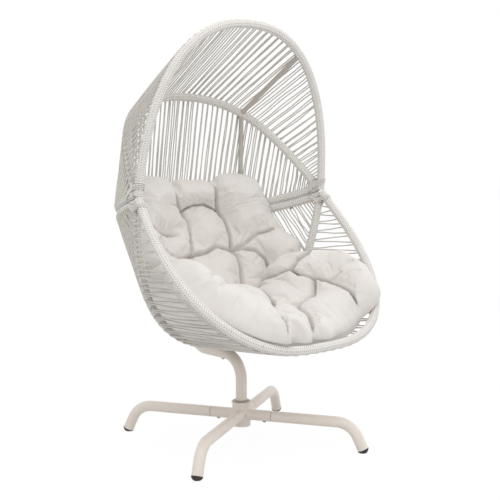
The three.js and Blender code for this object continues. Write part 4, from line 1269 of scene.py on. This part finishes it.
# Back cushion
# The second pad, made as the first. It hangs from over the rails down to the seat, in three
# columns of lobes, and its lower end is pressed flat where it meets the seat cushion.
back_thick = 112 * mm
back_start = 0.19
back_top = 0.34
back_low = 0.94


def back_surface(u, v):
    """The lining behind the back cushion: down the back panel, round the rails, down to the stay."""
    share = back_start + (1 - 2 * back_start) * np.clip(u, -overrun, 1 + overrun)
    upper, lower = along("canopy_rail", share), along("basket_rail", share)
    top = upper + (along("canopy_mid", share) - upper) * back_top
    low = lower + (along("stay", share) - lower) * back_low
    spans = (upper - top, lower - upper, low - lower)
    one, two, three = (np.linalg.norm(span, axis=-1)[..., None] for span in spans)
    place = 0
    reaches = (-1, -0.5, 0, 0.5, 1)
    for reach in reaches:
        way = v[..., None] * (one + two + three) + reach * bridge_far
        first = top + (upper - top) * way / one
        second = upper + (lower - upper) * (way - one) / two
        third = lower + (low - lower) * (way - one - two) / three
        place = place + np.where(way <= one, first, np.where(way <= one + two, second, third))
    return place / len(reaches)


def back_fullness(u, v):
    """Equally full at every lobe."""
    return np.ones(u.shape)


back_outline = {
    "right": [(0, 0.03), (0.2, -0.01), (0.45, -0.01), (0.6, -0.01), (0.8, -0.05), (0.92, -0.06),
              (1, -0.02)],
    "left": [(0, 0.95), (0.2, 1.0), (0.45, 0.99), (0.7, 1.0), (0.9, 0.98), (1, 0.9)],
    "rear": [(0, 0.1), (0.04, -0.01), (0.14, -0.035), (0.25, -0.02), (0.29, 0.0), (0.32, 0.06),
             (0.35, 0.02), (0.55, 0.02), (0.59, 0.08), (0.62, 0.02), (0.66, 0.0), (0.78, -0.02),
             (0.94, 0.01), (1, 0.12)],
    "front": [(0, 0.98), (0.06, 1.0), (0.5, 1.0), (0.92, 0.98), (1, 0.86)],
}
back_creases = [
    [(0.60, -0.05, 0.1), (0.60, 0.10, 0.3), (0.56, 0.24, 0.2), (0.53, 0.35, 0.4),
     (0.55, 0.44, 0.4), (0.58, 0.57, 0.18)],
    [(0.33, -0.05, 0.1), (0.32, 0.11, 0.3), (0.305, 0.25, 0.2), (0.285, 0.36, 0.4),
     (0.30, 0.48, 0.4), (0.335, 0.575, 0.18)],
    [(0.56, 0.24, 0.2), (0.48, 0.175, 0.55), (0.40, 0.17, 0.55), (0.305, 0.25, 0.2)],
    [(0.58, 0.57, 0.18), (0.49, 0.56, 0.45), (0.41, 0.53, 0.5), (0.335, 0.575, 0.18)],
    [(0.335, 0.575, 0.18), (0.25, 0.57, 0.5), (0.13, 0.545, 0.5), (0.0, 0.62, 0.75), (-0.05, 0.64, 0.85)],
    [(0.64, 0.45, 1.05), (0.70, 0.45, 0.4), (0.77, 0.46, 0.3), (0.9, 0.475, 0.45), (1.05, 0.48, 0.3)],
    [(0.335, 0.575, 0.18), (0.32, 0.62, 0.5), (0.33, 0.70, 0.4), (0.36, 0.78, 0.4), (0.37, 1.0, 0.3)],
    [(0.335, 0.575, 0.18), (0.27, 0.585, 0.5), (0.20, 0.64, 0.5), (0.17, 0.74, 0.4),
     (0.19, 0.86, 0.2), (0.19, 1.0, 0.3)],
    [(0.58, 0.57, 0.18), (0.62, 0.62, 0.5), (0.65, 0.75, 0.4), (0.67, 1.0, 0.3)],
    [(0.58, 0.57, 0.18), (0.71, 0.61, 0.6), (0.85, 0.63, 0.6), (1.05, 0.63, 0.4)],
]
back_folds = [
    [(0.32, 0.60, 1), (0.29, 0.68, 5), (0.25, 0.74, 5), (0.22, 0.80, 1)],
    [(0.26, 0.56, 5), (0.20, 0.50, 4), (0.15, 0.46, 0)],
    [(0.35, 0.20, 0), (0.37, 0.24, 4), (0.40, 0.30, 0)],
    [(0.66, 0.10, 0), (0.62, 0.06, 5), (0.60, 0.0, 3)],
    [(0.74, 0.47, 5), (0.70, 0.50, 3), (0.66, 0.53, 0)],
]
spine_points = 80
spine_ends = [at_span(hoop, spine_spans[hoop]) for hoop in ("canopy_rail", "canopy_mid")]
spine_lines = [np.linspace(*spine_ends, spine_points) * np.array([side, 1, 1]) for side in (1, -1)]
pressed_depth = 60 * mm
slanted_up = mathutils.Vector((0.31, 0.22, 0.92)).normalized()
past_skin = 0.01  # millimetres past a crossing, where the search for the next one starts


def pressed(piece, other, gap):
    """Moves what lies inside the other piece out to its skin, with a small gap."""
    tree = skin_tree(other)
    for vertex in piece.data.vertices:
        place, normal, _, distance = tree.find_nearest(vertex.co)
        crossings, start = 0, vertex.co
        while distance < pressed_depth:
            hit = tree.ray_cast(start, slanted_up)[0]
            if hit is None:
                break
            crossings += 1
            start = hit + slanted_up * past_skin * mm
        if crossings % 2:
            vertex.co = place + (place - vertex.co).normalized() * gap


back_cushion = cushion(
    "quilted_back_cushion",
    "back_cushion",
    back_surface,
    back_thick,
    back_outline,
    back_fullness,
    back_creases,
    back_folds,
    np.concatenate([hoop_points(["stay", "basket_rail", "canopy_rail"]), *spine_lines]),
    (221, 181),
    seat_cushion,
)
pressed(back_cushion, seat_cushion, rest_gap)
